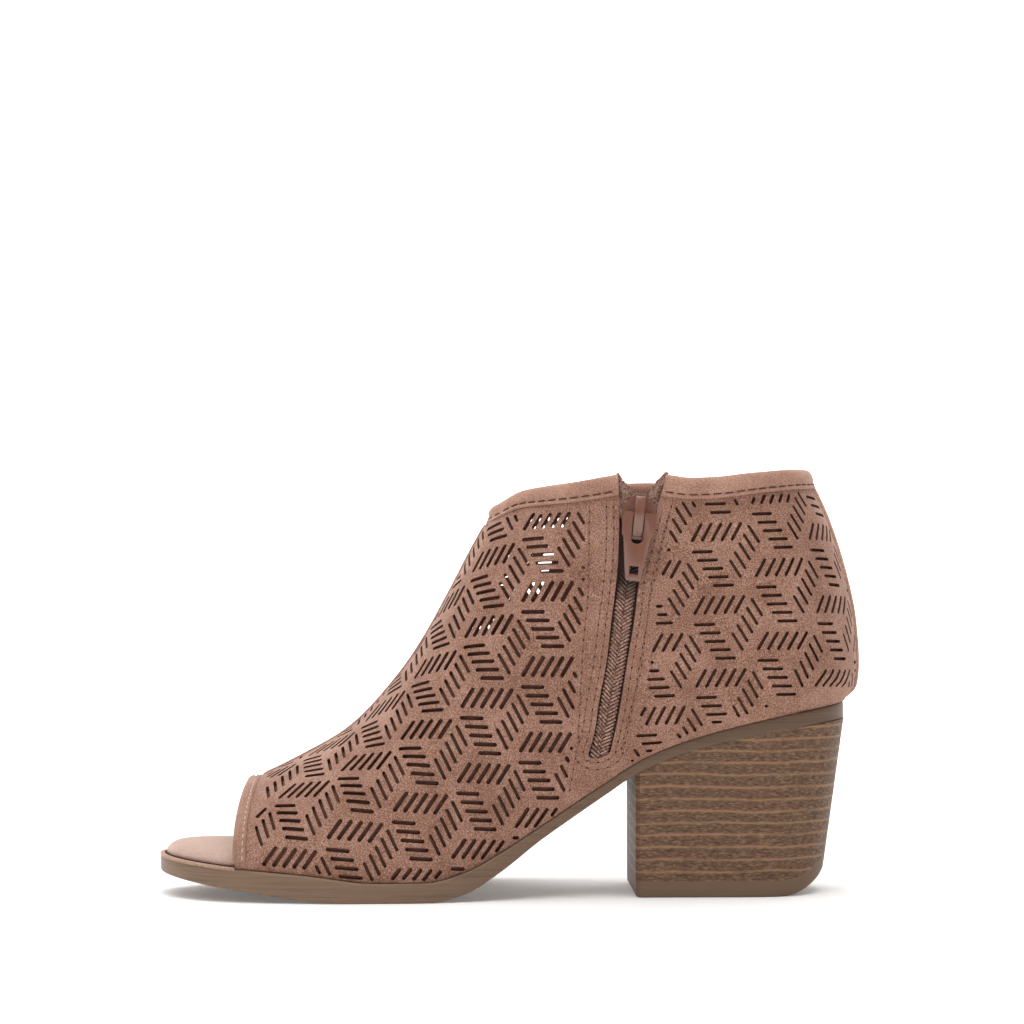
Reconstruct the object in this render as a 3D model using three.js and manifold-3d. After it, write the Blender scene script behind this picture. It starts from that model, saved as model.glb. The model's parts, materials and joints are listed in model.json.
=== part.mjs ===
// A right-foot peep toe ankle boot with a stacked block heel and a zip on the inner side.
// Millimetres, +Z up. The toe points to -X, the inner (medial) side faces -Y, and the origin
// lies on the floor under the middle of the boot's box.
import * as THREE from 'three';
import { mergeVertices } from 'three/addons/utils/BufferGeometryUtils.js';
import Module from 'manifold-3d';

const wasm = await Module();
wasm.setup();

// Driving dimensions
const LENGTH = 238.6; // toe tip of the outsole to the back of the counter
const BALL_WIDTH = 86; // outsole across the ball of the foot
const FOREPART_THICKNESS = 6.6; // outsole under the ball
const TOE_SPRING = 6.8; // rise of the outsole from the ball to the toe tip
const HEEL_RISE = 59; // rise of the outsole from the ball to the back of the heel seat
const SHAFT = 78; // heel seat to the highest point of the collar, at the back
const INSTEP = 112; // outsole to the throat, at the front of the ankle
const WALL = 1.8; // upper leather with its backing
const GAP = 0.3; // clearance between neighbouring pieces
const RIM = 1.7; // outsole beyond the upper around the forepart
const COUNTER_OVERHANG = 5.1; // back of the counter beyond the outsole
const HEEL_BULGE = 3.4; // upper beyond its own seam line around the heel
const FOREPART_BULGE = 1.3; // the same around the forepart
const BULGE_HEIGHT = 9; // height over the outsole at which the bulge is full
const BACK_LEAN = 17.6; // forward lean of the back seam at the collar
const ANKLE_WIDTH = 59; // collar across the ankle
const LATERAL_DIP = 2.4; // outer side of the collar below the inner side
const HEEL_ROUND = 30; // depth of the rounding around the back of the heel
const TOE_ROUND = 36; // depth of the rounding around the toe
const VAMP_ROUND = 25; // depth of the rounding over the vamp at the toe opening
const COLLAR_ROUND = 42; // depth of the rounding at the front of the collar
const OPENING_SETBACK = 26; // toe tip to the foot of the toe opening's edge
const OPENING_LEAN = 6.5; // lean of that edge back to the vamp's ridge
const OPENING_HEIGHT = 29.6; // outsole to the top of the toe opening
const BINDING_WIDTH = 5.6; // collar binding, from its fold to its seam
const TOE_BINDING_WIDTH = 4.8;
const BINDING_THICKNESS = 0.8;
const STAY_WIDTH = 10; // strip over the back seam
const STAY_THICKNESS = 1;
const INSOLE_THICKNESS = 5.2;
const INSOLE_EDGE = 2.4; // roll of the padded insole's upper edge
const SOLE_BEVEL = 1;
const BREAST_SETBACK = 162; // toe tip to the breast of the heel
const HEEL_BASE_WIDTH = 52;
const HEEL_BASE_SETBACK = 12.3; // back of the counter to the back of the heel's base
const TOP_PIECE = 5.7; // thickness of the lift that meets the floor
const HEEL_BEVEL_LENGTH = 15; // worn-in bevel behind the lift's flat face
const HEEL_BEVEL_HEIGHT = 6.9;
const ZIP_WIDTH = 7.7; // leather to leather across the closed zip
const TAPE_MARGIN = 4.5; // zip tape sewn in behind the leather
const TAPE_THICKNESS = 0.8;
const COIL_WIDTH = 4.4;
const SLIDER_WIDTH = 11.6;
const SLIDER_THICKNESS = 1.6;
const SLIDER_NOSE = 6.8; // slider above the pull's axis
const SLIDER_TAIL = 8.6; // slider below it
const BAIL_WIDTH = 3.2;
const BAIL_THICKNESS = 0.9;
const PULL_LENGTH = 22.4; // axis to the free end
const PULL_WIDTH = 11;
const PULL_TIP_WIDTH = 5.4;
const PULL_THICKNESS = 1.4;
const PULL_WINDOW = 8.6; // axis to the foot of the window that the bail passes through

// Mesh fineness
const FAN_STEPS = 38;
const RIB_STEPS = 14;
const PLAN_STEPS = 44;

const X_TOE = -LENGTH / 2;
const X_BACK = LENGTH / 2 - STAY_THICKNESS - GAP; // backmost point of the upper itself
const X_SOLE_BACK = LENGTH / 2 - COUNTER_OVERHANG;
const X_BREAST = X_TOE + BREAST_SETBACK;
const SEAT = FOREPART_THICKNESS + HEEL_RISE;
const FAR = 4 * SHAFT; // beyond everything, for cutters

// The outsole from the side. at: share of LENGTH from the toe tip; spring: share of TOE_SPRING;
// rise: share of HEEL_RISE; thick: share of FOREPART_THICKNESS.
const SOLE = [
  { at: 0.0, spring: 1.0, rise: 0, thick: 0.85 },
  { at: 0.065, spring: 0.8, rise: 0, thick: 1.0 },
  { at: 0.15, spring: 0.55, rise: 0, thick: 1.14 },
  { at: 0.21, spring: 0.38, rise: 0, thick: 1.26 },
  { at: 0.265, spring: 0.14, rise: 0, thick: 1.145 },
  { at: 0.3, spring: 0, rise: 0, thick: 1.0 },
  { at: 0.378, spring: 0, rise: 0, thick: 1.0 },
  { at: 0.43, spring: 0, rise: 0.05, thick: 1.1 },
  { at: 0.486, spring: 0, rise: 0.166, thick: 0.95 },
  { at: 0.542, spring: 0, rise: 0.308, thick: 0.67 },
  { at: 0.627, spring: 0, rise: 0.531, thick: 0.6 },
  { at: 0.683, spring: 0, rise: 0.675, thick: 0.57 },
  { at: 0.739, spring: 0, rise: 0.77, thick: 0.57 },
  { at: 0.852, spring: 0, rise: 0.895, thick: 0.71 },
  { at: 1.0, spring: 0, rise: 1.006, thick: 0.95 },
];

// The outsole from above, without its round ends. centre and half: shares of BALL_WIDTH.
const PLAN = [
  { at: 0.0, centre: -0.07, half: 0.326 },
  { at: 0.1, centre: -0.041, half: 0.395 },
  { at: 0.18, centre: -0.023, half: 0.453 },
  { at: 0.27, centre: -0.006, half: 0.494 },
  { at: 0.353, centre: 0.0035, half: 0.4965 },
  { at: 0.43, centre: 0.017, half: 0.471 },
  { at: 0.515, centre: 0.035, half: 0.424 },
  { at: 0.6, centre: 0.041, half: 0.378 },
  { at: 0.683, centre: 0.026, half: 0.345 },
  { at: 0.78, centre: 0.009, half: 0.334 },
  { at: 0.877, centre: 0, half: 0.326 },
  { at: 1.0, centre: 0, half: 0.326 },
];

// Ridge of the vamp and front of the ankle. up: height over the outsole, share of INSTEP.
// The last three rows carry the form on above the throat, where the collar cuts it.
const FRONT = [
  { at: 0.05, up: 0.165 },
  { at: 0.091, up: 0.21 },
  { at: 0.135, up: 0.251 },
  { at: 0.204, up: 0.333 },
  { at: 0.273, up: 0.44 },
  { at: 0.342, up: 0.606 },
  { at: 0.376, up: 0.713 },
  { at: 0.411, up: 0.832 },
  { at: 0.4455, up: 0.94 },
  { at: 0.4706, up: 0.988 },
  { at: 0.489, up: 1.013 },
  { at: 0.51, up: 1.048 },
  { at: 0.529, up: 1.1 },
];

// Back of the counter. over: height over the heel seat, share of SHAFT; lean: share of BACK_LEAN.
const BACK = [
  { over: -0.12, lean: 0.46 },
  { over: 0, lean: 0.22 },
  { over: 0.045, lean: 0.07 },
  { over: 0.1, lean: 0.015 },
  { over: 0.18, lean: 0 },
  { over: 0.3, lean: 0.035 },
  { over: 0.4, lean: 0.09 },
  { over: 0.5, lean: 0.185 },
  { over: 0.6, lean: 0.3 },
  { over: 0.7, lean: 0.44 },
  { over: 0.8, lean: 0.6 },
  { over: 0.9, lean: 0.8 },
  { over: 1.0, lean: 1.0 },
  { over: 1.16, lean: 1.3 },
];

// Collar's top line. over: height over the heel seat, share of SHAFT.
const COLLAR = [
  { at: 0.42, over: 0.79 },
  { at: 0.467, over: 0.825 },
  { at: 0.482, over: 0.842 },
  { at: 0.497, over: 0.868 },
  { at: 0.514, over: 0.896 },
  { at: 0.548, over: 0.922 },
  { at: 0.615, over: 0.949 },
  { at: 0.655, over: 0.97 },
  { at: 0.71, over: 0.976 },
  { at: 0.75, over: 0.962 },
  { at: 0.79, over: 0.967 },
  { at: 0.835, over: 0.984 },
  { at: 0.908, over: 1.0 },
  { at: 1.05, over: 1.0 },
];

// Centre line of the zip and its half width. up: share of the way from outsole to collar;
// half: share of ZIP_WIDTH.
const ZIP = [
  { up: 0.09, at: 0.6225, half: 0.43 },
  { up: 0.26, at: 0.644, half: 0.49 },
  { up: 0.41, at: 0.657, half: 0.49 },
  { up: 0.575, at: 0.666, half: 0.54 },
  { up: 0.74, at: 0.676, half: 0.69 },
  { up: 0.87, at: 0.681, half: 0.83 },
  { up: 1.0, at: 0.684, half: 1.04 },
  { up: 1.1, at: 0.686, half: 1.2 },
];
const ZIP_FOOT = 0.09; // lower end of the zip, as up in that table
const SLIDER_UP = 0.865; // pull's axis, as up in that table
const SLIDER_TOP_UP = 0.95; // where the two tapes part above the slider

const lerp = (a, b, t) => a + (b - a) * t;
const clamp01 = (t) => Math.min(1, Math.max(0, t));
const smooth = (t) => t * t * (3 - 2 * t);
const shareAt = (x) => (x - X_TOE) / LENGTH;
const xAt = (share) => X_TOE + share * LENGTH;

// Value of a column at a place along a table, on a monotone cubic that never overshoots its rows.
function column(rows, by, name, at) {
  const last = rows.length - 1;
  const t = Math.min(Math.max(at, rows[0][by]), rows[last][by]);
  const i = Math.min(last - 1, rows.findLastIndex((row) => row[by] <= t));
  const step = (k) => rows[k + 1][by] - rows[k][by];
  const slope = (k) => (rows[k + 1][name] - rows[k][name]) / step(k);
  const tangent = (k) => {
    if (k === 0) return slope(0);
    if (k === last) return slope(last - 1);
    const [before, after] = [slope(k - 1), slope(k)];
    return before * after <= 0 ? 0 : (2 * before * after) / (before + after);
  };
  const h = step(i);
  const u = (t - rows[i][by]) / h;
  return (
    (1 + 2 * u) * (1 - u) ** 2 * rows[i][name] +
    u * (1 - u) ** 2 * h * tangent(i) +
    u * u * (3 - 2 * u) * rows[i + 1][name] +
    u * u * (u - 1) * h * tangent(i + 1)
  );
}

const soleTop = (x) =>
  FOREPART_THICKNESS +
  TOE_SPRING * column(SOLE, 'at', 'spring', shareAt(x)) +
  HEEL_RISE * column(SOLE, 'at', 'rise', shareAt(x));
const soleBottom = (x) => soleTop(x) - FOREPART_THICKNESS * column(SOLE, 'at', 'thick', shareAt(x));
const planCentre = (x) => BALL_WIDTH * column(PLAN, 'at', 'centre', shareAt(x));
const planHalf = (x) => BALL_WIDTH * column(PLAN, 'at', 'half', shareAt(x));

// 0 at an edge, 1 at a depth of one and beyond: the side of a superellipse.
const rounding = (depth, power) =>
  depth <= 0 ? 0 : (1 - (1 - Math.min(1, depth)) ** power) ** (1 / power);

// Half width of the outsole's outline, grown by some millimetres, with its round toe and heel.
function outlineHalf(x, grow) {
  const toe = rounding((x - X_TOE + grow) / (TOE_ROUND + grow), 2.2);
  const heel = rounding((X_SOLE_BACK - x + grow) / (HEEL_ROUND + grow), 2.1);
  return (planHalf(x) + grow) * toe * heel;
}

const collarZ = (x) => SEAT + SHAFT * column(COLLAR, 'at', 'over', shareAt(x));
const dip = (x) => LATERAL_DIP * Math.sin(Math.PI * clamp01((shareAt(x) - 0.47) / 0.46));

// Front and back outlines of the upper from the side, as points [x, z] close together.
function outline(rows, place) {
  const points = rows.map((row) => new THREE.Vector3(...place(row)));
  return new THREE.CatmullRomCurve3(points, false, 'centripetal').getSpacedPoints(70);
}
const frontLine = outline(FRONT, (row) => [
  xAt(row.at), 0, soleTop(xAt(row.at)) + INSTEP * row.up,
]);
const backLine = outline(BACK, (row) => [
  X_BACK - BACK_LEAN * row.lean, 0, SEAT + SHAFT * row.over,
]);

// Distance of a point of the side view inside a line, negative outside it.
// inward is 1 where the boot lies to the right of the line's direction, and -1 to its left.
function depthInside(line, inward, x, z) {
  let best = Infinity;
  let sign = 1;
  for (let i = 0; i + 1 < line.length; i++) {
    const [a, b] = [line[i], line[i + 1]];
    const [dx, dz] = [b.x - a.x, b.z - a.z];
    const t = clamp01(((x - a.x) * dx + (z - a.z) * dz) / (dx * dx + dz * dz));
    const [ex, ez] = [x - a.x - t * dx, z - a.z - t * dz];
    const d = Math.hypot(ex, ez);
    if (d < best) {
      best = d;
      sign = Math.sign(dz * ex - dx * ez) * inward;
    }
  }
  return best * sign;
}

// Half width of the upper's form at a point of the side view, on the inner or the outer side,
// with the whole form grown by some millimetres.
function halfWidth(x, z, side, grow) {
  const over = z - soleTop(x);
  const full = clamp01(over / BULGE_HEIGHT);
  const toHeel = smooth(clamp01((shareAt(x) - 0.4) / 0.35));
  const bulge = lerp(FOREPART_BULGE, HEEL_BULGE, toHeel) * (1 - (1 - full) ** 2);
  const seam = planHalf(x) + side * planCentre(x) - lerp(RIM, GAP, toHeel);
  const climb = smooth(clamp01((over - BULGE_HEIGHT) / (SEAT + SHAFT - BULGE_HEIGHT - soleTop(x))));
  const wall = lerp(seam + bulge, ANKLE_WIDTH / 2, climb);
  const high = clamp01((z - SEAT / 2) / (SEAT / 2 + SHAFT));
  const frontRound = lerp(VAMP_ROUND, COLLAR_ROUND, high) + grow;
  const front = rounding((depthInside(frontLine, 1, x, z) + grow) / frontRound, 2);
  const back = rounding((depthInside(backLine, -1, x, z) + grow) / (HEEL_ROUND + grow), 2.1);
  return (wall + grow) * front * back;
}

// Where the fan of ribs starts and ends: shares of the way along the bottom and back line,
// and along the front line.
const FAN = [
  { t: 0, low: 0, high: 0 },
  { t: 0.35, low: 0.28, high: 0.3 },
  { t: 0.6, low: 0.56, high: 0.62 },
  { t: 0.72, low: 0.69, high: 0.76 },
  { t: 1, low: 1, high: 1 },
];
const UNDERCUT = 8; // the form runs on below the outsole's top, where the sole cuts it

// A point of a line of the side view, moved outwards by grow.
function pointOn(line, share, grow, outward) {
  const at = share * (line.length - 1);
  const i = Math.min(line.length - 2, Math.floor(at));
  const [a, b] = [line[i], line[i + 1]];
  const along = Math.hypot(b.x - a.x, b.z - a.z);
  const [nx, nz] = [(-outward * (b.z - a.z)) / along, (outward * (b.x - a.x)) / along];
  return [lerp(a.x, b.x, at - i) + nx * grow, lerp(a.z, b.z, at - i) + nz * grow];
}

// The bottom line under the foot followed by the back line, in steps of equal length.
const lowLine = (() => {
  const start = xAt(FRONT[0].at);
  const corner = backLine[0];
  const under = Array.from({ length: 40 }, (_, i) => {
    const x = lerp(start, corner.x - 1, i / 39);
    return new THREE.Vector3(x, 0, Math.min(soleTop(x) - UNDERCUT, corner.z));
  });
  const path = new THREE.CurvePath();
  const all = [...under, ...backLine];
  for (let i = 0; i + 1 < all.length; i++) path.add(new THREE.LineCurve3(all[i], all[i + 1]));
  return path.getSpacedPoints(160);
})();

// Manifold solid of indexed corner points and triangles, with collapsed triangles dropped.
function solidOf(points, triangles) {
  const geometry = new THREE.BufferGeometry()
    .setAttribute('position', new THREE.Float32BufferAttribute(points.flat(), 3))
    .setIndex(triangles.flat());
  return solidOfGeometry(geometry);
}

function solidOfGeometry(geometry) {
  geometry.deleteAttribute('normal');
  geometry.deleteAttribute('uv');
  const merged = mergeVertices(geometry, 1e-3);
  const kept = [];
  for (let i = 0; i < merged.index.count; i += 3) {
    const [a, b, c] = [0, 1, 2].map((k) => merged.index.getX(i + k));
    if (a !== b && b !== c && c !== a) kept.push(a, b, c);
  }
  return new wasm.Manifold(
    new wasm.Mesh({
      numProp: 3,
      vertProperties: merged.attributes.position.array,
      triVerts: new Uint32Array(kept),
    }),
  );
}

// Solid skinned over closed rings that all hold the same number of points. Each ring's second
// half runs back beside its first half, so that its ends are closed by strips across.
function loft(rings) {
  const count = rings[0].length;
  const triangles = [];
  const quad = (a, b, c, d) => triangles.push([a, b, c], [a, c, d]);
  for (let i = 0; i + 1 < rings.length; i++) {
    for (let j = 0; j < count; j++) {
      const k = (j + 1) % count;
      quad(i * count + j, i * count + k, (i + 1) * count + k, (i + 1) * count + j);
    }
  }
  const end = (rings.length - 1) * count;
  for (let j = 0; j + 1 < count / 2; j++) {
    const [a, b] = [j, j + 1];
    const [c, d] = [count - 2 - j, count - 1 - j];
    quad(a, d, c, b);
    quad(end + a, end + b, end + c, end + d);
  }
  const made = solidOf(rings.flat(), triangles);
  if (made.volume() > 0) return made;
  return solidOf(rings.flat(), triangles.map(([a, b, c]) => [a, c, b]));
}

// The whole form of the upper as a solid, grown by some millimetres.
function form(grow) {
  const rings = [];
  for (let i = 0; i <= FAN_STEPS; i++) {
    const t = i / FAN_STEPS;
    const low = pointOn(lowLine, column(FAN, 't', 'low', t), grow, -1);
    const high = pointOn(frontLine, column(FAN, 't', 'high', t), grow, 1);
    const ribs = [1, -1].map((side) =>
      Array.from({ length: RIB_STEPS + 1 }, (_, j) => {
        const s = (1 - Math.cos((Math.PI * j) / RIB_STEPS)) / 2;
        const [x, z] = [lerp(low[0], high[0], s), lerp(low[1], high[1], s)];
        const y = j === RIB_STEPS ? 0 : halfWidth(x, z, side, grow);
        return [x, side * y, z];
      }),
    );
    rings.push([...ribs[0], ...ribs[1].reverse()]);
  }
  return loft(rings);
}

// A region of the side view, given by its corners [x, z], carried across from y = from to y = to.
function across(corners, from = -FAR, to = FAR) {
  const shape = new THREE.Shape(corners.map(([x, z]) => new THREE.Vector2(x, z)));
  const geometry = new THREE.ExtrudeGeometry(shape, { depth: to - from, bevelEnabled: false });
  geometry.rotateX(Math.PI / 2).translate(0, to, 0);
  return solidOfGeometry(geometry);
}

const steps = (from, to, count, make) =>
  Array.from({ length: count + 1 }, (_, i) => make(lerp(from, to, i / count)));

// Everything in the side view above a height that follows the place along the boot.
const above = (height, from = 1.2 * X_TOE, to = -1.2 * X_TOE) => [
  ...steps(from, to, 72, (x) => [x, height(x)]), [to, FAR], [from, FAR],
];

// The toe opening's edge: upright at its foot, turning back over the vamp.
const openingFoot = soleTop(X_TOE + OPENING_SETBACK);
const openingX = (share, setback) =>
  X_TOE + OPENING_SETBACK + setback + OPENING_LEAN * (1 - Math.sqrt(1 - share ** 2.4));
const behindOpening = (setback) => {
  const top = openingFoot + OPENING_HEIGHT;
  return across([
    [openingX(0, setback), -UNDERCUT],
    ...steps(0, Math.PI / 2, 14, (angle) => {
      const share = Math.sin(angle);
      return [openingX(share, setback), openingFoot + OPENING_HEIGHT * share];
    }),
    [openingX(1, setback), top + FAR], [FAR, top + FAR], [FAR, -UNDERCUT],
  ]);
};

// Below the collar's top line, lowered by drop. The outer side dips below the inner side.
const belowCollar = (drop) => {
  const half = (from, to, lowering) =>
    across([
      ...steps(xAt(0.42), xAt(1.05), 50, (x) => [x, collarZ(x) - lowering * dip(x) - drop]),
      [FAR, -FAR], [-FAR, -FAR], [-FAR, SEAT + SHAFT * COLLAR[0].over - drop],
    ], from, to);
  return half(-FAR, 0, 0).add(half(0, FAR, 1));
};

// The zip in the side view: centre [x, z] and half width at a share of the way up.
function zipAt(up) {
  const x = xAt(column(ZIP, 'up', 'at', up));
  const half = ZIP_WIDTH * column(ZIP, 'up', 'half', up);
  return { x, z: lerp(soleTop(x), collarZ(x), up), half };
}

// A strip of the side view along the zip, between two offsets from its centre line.
const alongZip = (from, to, front, rear) =>
  across([
    ...steps(from, to, 22, (up) => [zipAt(up).x + front(up), zipAt(up).z]),
    ...steps(to, from, 22, (up) => [zipAt(up).x + rear(up), zipAt(up).z]),
  ], -FAR, 0);

function leather() {
  const slot = alongZip(ZIP_FOOT, 1.1, (up) => -zipAt(up).half, (up) => zipAt(up).half);
  const shell = form(0).subtract(form(-WALL));
  return shell
    .intersect(across(above((x) => soleTop(x) + GAP)))
    .intersect(belowCollar(BINDING_THICKNESS + GAP))
    .intersect(behindOpening(BINDING_THICKNESS + GAP))
    .subtract(slot);
}

// A folded strip along an edge of the upper: outside, over the edge and inside.
function binding(band, edge) {
  const thick = BINDING_THICKNESS;
  const sleeve = form(GAP + thick).subtract(form(-WALL - GAP - thick));
  const room = form(GAP).subtract(form(-WALL - GAP)).intersect(edge);
  return sleeve.intersect(band).subtract(room);
}

function collarBinding() {
  const clear = (side) => (up) => side * (zipAt(up).half + GAP);
  return binding(
    belowCollar(0).subtract(belowCollar(BINDING_WIDTH)),
    belowCollar(BINDING_THICKNESS),
  ).subtract(alongZip(ZIP_FOOT, 1.1, clear(-1), clear(1)));
}

function toeBinding() {
  return binding(
    behindOpening(0).subtract(behindOpening(TOE_BINDING_WIDTH)),
    behindOpening(BINDING_THICKNESS),
  ).intersect(across(above((x) => soleTop(x) + GAP)))
    .subtract(insole(GAP));
}

// Strip over the back seam, from the outsole up to the collar's binding.
function backStay() {
  const strip = new THREE.BoxGeometry(FAR, STAY_WIDTH, FAR);
  strip.translate(FAR / 2 + X_BACK - HEEL_ROUND, 0, 0);
  return form(GAP + STAY_THICKNESS)
    .subtract(form(GAP))
    .intersect(solidOfGeometry(strip))
    .intersect(across(above((x) => soleTop(x) + GAP)))
    .intersect(belowCollar(BINDING_WIDTH + GAP));
}

// A slab that follows the outsole's outline. Each level gives its height and how far it is
// grown beyond that outline, from the lowest to the highest.
function slab(levels, from, to, growth) {
  const rings = [];
  for (let i = 0; i <= PLAN_STEPS; i++) {
    const x = lerp(from, to, (1 - Math.cos((Math.PI * i) / PLAN_STEPS)) / 2);
    const end = i === 0 || i === PLAN_STEPS;
    const sides = [1, -1].map((side) =>
      levels.map((level) => {
        const half = end ? 0 : outlineHalf(x, growth(x)) + level.grow;
        return [x, planCentre(x) + side * Math.max(half, 0), level.z(x)];
      }),
    );
    rings.push([...sides[0], ...sides[1].reverse()]);
  }
  return loft(rings);
}

function outsole() {
  return slab([
    { grow: -SOLE_BEVEL, z: soleBottom },
    { grow: 0, z: (x) => soleBottom(x) + SOLE_BEVEL },
    { grow: 0, z: soleTop },
  ], X_TOE, X_SOLE_BACK, () => 0);
}

// The padded insole lies inside the upper and runs out to the rim around the open toe.
function insole(extra = 0) {
  const inset = -(RIM + WALL + 2 * GAP) + extra;
  const height = (share) => (x) => soleTop(x) + GAP - extra + (INSOLE_THICKNESS + 2 * extra) * share;
  return slab([
    { grow: -0.4, z: height(0) },
    { grow: 0, z: height(0.35) },
    { grow: -INSOLE_EDGE / 3, z: height(0.75) },
    { grow: -INSOLE_EDGE, z: height(1) },
  ], X_TOE - inset, X_SOLE_BACK + inset, () => inset);
}

// The heel's form: D-shaped in plan, narrower and shorter at the floor than at the seat.
function heelForm() {
  const ring = (z) => {
    const up = z / SEAT;
    const back = lerp(LENGTH / 2 - HEEL_BASE_SETBACK, X_SOLE_BACK, up);
    const rib = (side) =>
      Array.from({ length: 19 }, (_, i) => {
        const x = lerp(X_BREAST, back, Math.sin((Math.PI / 2) * (i / 18)));
        const top = planHalf(x) + side * planCentre(x) - GAP;
        const half = lerp(HEEL_BASE_WIDTH / 2, top, up);
        return [x, side * half * rounding((back - x) / HEEL_ROUND, 2.3), z];
      });
    return [...rib(1), ...rib(-1).reverse()];
  };
  return loft([ring(-UNDERCUT), ring(SEAT + UNDERCUT)]);
}

// Underside of the heel: flat, then curving up to the back.
const heelFoot = (x) => {
  const start = LENGTH / 2 - HEEL_BASE_SETBACK - HEEL_BEVEL_LENGTH;
  return HEEL_BEVEL_HEIGHT * Math.max(0, (x - start) / HEEL_BEVEL_LENGTH) ** 2;
};

const heelBlock = () =>
  heelForm()
    .intersect(across(above((x) => heelFoot(x) + TOP_PIECE + GAP)))
    .subtract(across(above((x) => soleBottom(x) - GAP)));

const topPiece = () =>
  heelForm()
    .intersect(across(above(heelFoot)))
    .subtract(across(above((x) => heelFoot(x) + TOP_PIECE)));

// Half of the zip's tape, behind the leather. The two halves part above the slider.
function tape(side) {
  const spread = (up) => GAP / 2 + (ZIP_WIDTH / 2) * clamp01((up - SLIDER_TOP_UP) / (1 - SLIDER_TOP_UP));
  const edge = (up) => side * (zipAt(up).half + TAPE_MARGIN);
  const middle = (up) => side * spread(up);
  const [front, rear] = side < 0 ? [edge, middle] : [middle, edge];
  const layer = form(-WALL - GAP).subtract(form(-WALL - GAP - TAPE_THICKNESS));
  const foot = ZIP_FOOT - 0.02;
  return layer
    .intersect(alongZip(foot, 1.05, front, rear))
    .intersect(belowCollar(BINDING_WIDTH + GAP));
}

function coil() {
  return form(-GAP)
    .subtract(form(-WALL))
    .intersect(alongZip(
      ZIP_FOOT + 0.005, SLIDER_UP + 0.02, () => -COIL_WIDTH / 2, () => COIL_WIDTH / 2,
    ));
}

// Frame on the inner side at the pull's axis: down the zip, across it and out of the leather.
function sliderFrame() {
  const on = ({ x, z }) => new THREE.Vector3(x, -halfWidth(x, z, -1, 0), z);
  const here = zipAt(SLIDER_UP);
  const point = on(here);
  const down = on(zipAt(SLIDER_UP - 0.05)).sub(on(zipAt(SLIDER_UP + 0.05))).normalize();
  const along = on({ x: here.x + 2, z: here.z }).sub(on({ x: here.x - 2, z: here.z }));
  const out = new THREE.Vector3().crossVectors(down, along).normalize();
  if (out.y > 0) out.negate();
  const sideways = new THREE.Vector3().crossVectors(out, down).normalize();
  return new THREE.Matrix4().makeBasis(down, sideways, out).setPosition(point);
}

// A plate in the slider's frame: corners [down, sideways], between two heights.
function plate(corners, from, to, holes = []) {
  const path = (points) => points.map(([u, v]) => new THREE.Vector2(u, v));
  const shape = new THREE.Shape(path(corners));
  shape.holes = holes.map((hole) => new THREE.Path(path(hole).reverse()));
  const geometry = new THREE.ExtrudeGeometry(shape, { depth: to - from, bevelEnabled: false });
  geometry.translate(0, 0, from);
  return solidOfGeometry(geometry);
}

const mirrored = (side) => [...side, ...side.map(([u, v]) => [u, -v]).reverse()];

const AXIS_HEIGHT = SLIDER_THICKNESS + PULL_THICKNESS; // pull's axis over the leather

function slider() {
  const half = SLIDER_WIDTH / 2;
  const body = plate(mirrored([
    [-SLIDER_NOSE, 0.25 * half], [-0.75 * SLIDER_NOSE, 0.62 * half],
    [-0.45 * SLIDER_NOSE, 0.88 * half], [-0.1 * SLIDER_NOSE, half],
    [0.3 * SLIDER_TAIL, 0.96 * half], [SLIDER_TAIL, 0.76 * half],
  ]), 0, SLIDER_THICKNESS);
  const rail = (side) => plate([
    [-0.1 * SLIDER_NOSE, side * (COIL_WIDTH / 2 + GAP)], [SLIDER_TAIL, side * (COIL_WIDTH / 2 + GAP)],
    [SLIDER_TAIL, side * (COIL_WIDTH / 2 + GAP + 0.7)], [-0.1 * SLIDER_NOSE, side * (COIL_WIDTH / 2 + GAP + 0.7)],
  ], -WALL / 2, SLIDER_THICKNESS / 2);
  const reach = AXIS_HEIGHT + PULL_THICKNESS * 0.71 + GAP; // over the pull's turning corner
  const arch = [
    [-SLIDER_NOSE + 0.6, SLIDER_THICKNESS / 2], [-SLIDER_NOSE + 0.9, reach - 0.4],
    [-0.5 * SLIDER_NOSE, reach + BAIL_THICKNESS - 0.2], [0, reach + BAIL_THICKNESS],
    [0.45 * PULL_WINDOW, reach + BAIL_THICKNESS - 0.5], [PULL_WINDOW - 1.1, SLIDER_THICKNESS + 0.9],
    [PULL_WINDOW - 1, SLIDER_THICKNESS / 2],
  ];
  const tunnel = [
    [-0.32 * SLIDER_NOSE, SLIDER_THICKNESS], [-0.32 * SLIDER_NOSE, reach - 0.3], [-0.8, reach],
    [0.9, reach], [0.38 * PULL_WINDOW, reach - 0.5], [0.62 * PULL_WINDOW, SLIDER_THICKNESS],
  ];
  const upright = (corners, width) => {
    const shape = new THREE.Shape(corners.map(([u, h]) => new THREE.Vector2(u, h)));
    const geometry = new THREE.ExtrudeGeometry(shape, { depth: width, bevelEnabled: false });
    geometry.translate(0, 0, -width / 2).rotateX(Math.PI / 2);
    return solidOfGeometry(geometry);
  };
  const bail = upright(arch, BAIL_WIDTH).subtract(upright(tunnel, 2 * BAIL_WIDTH));
  return body.add(rail(1)).add(rail(-1)).add(bail);
}

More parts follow.
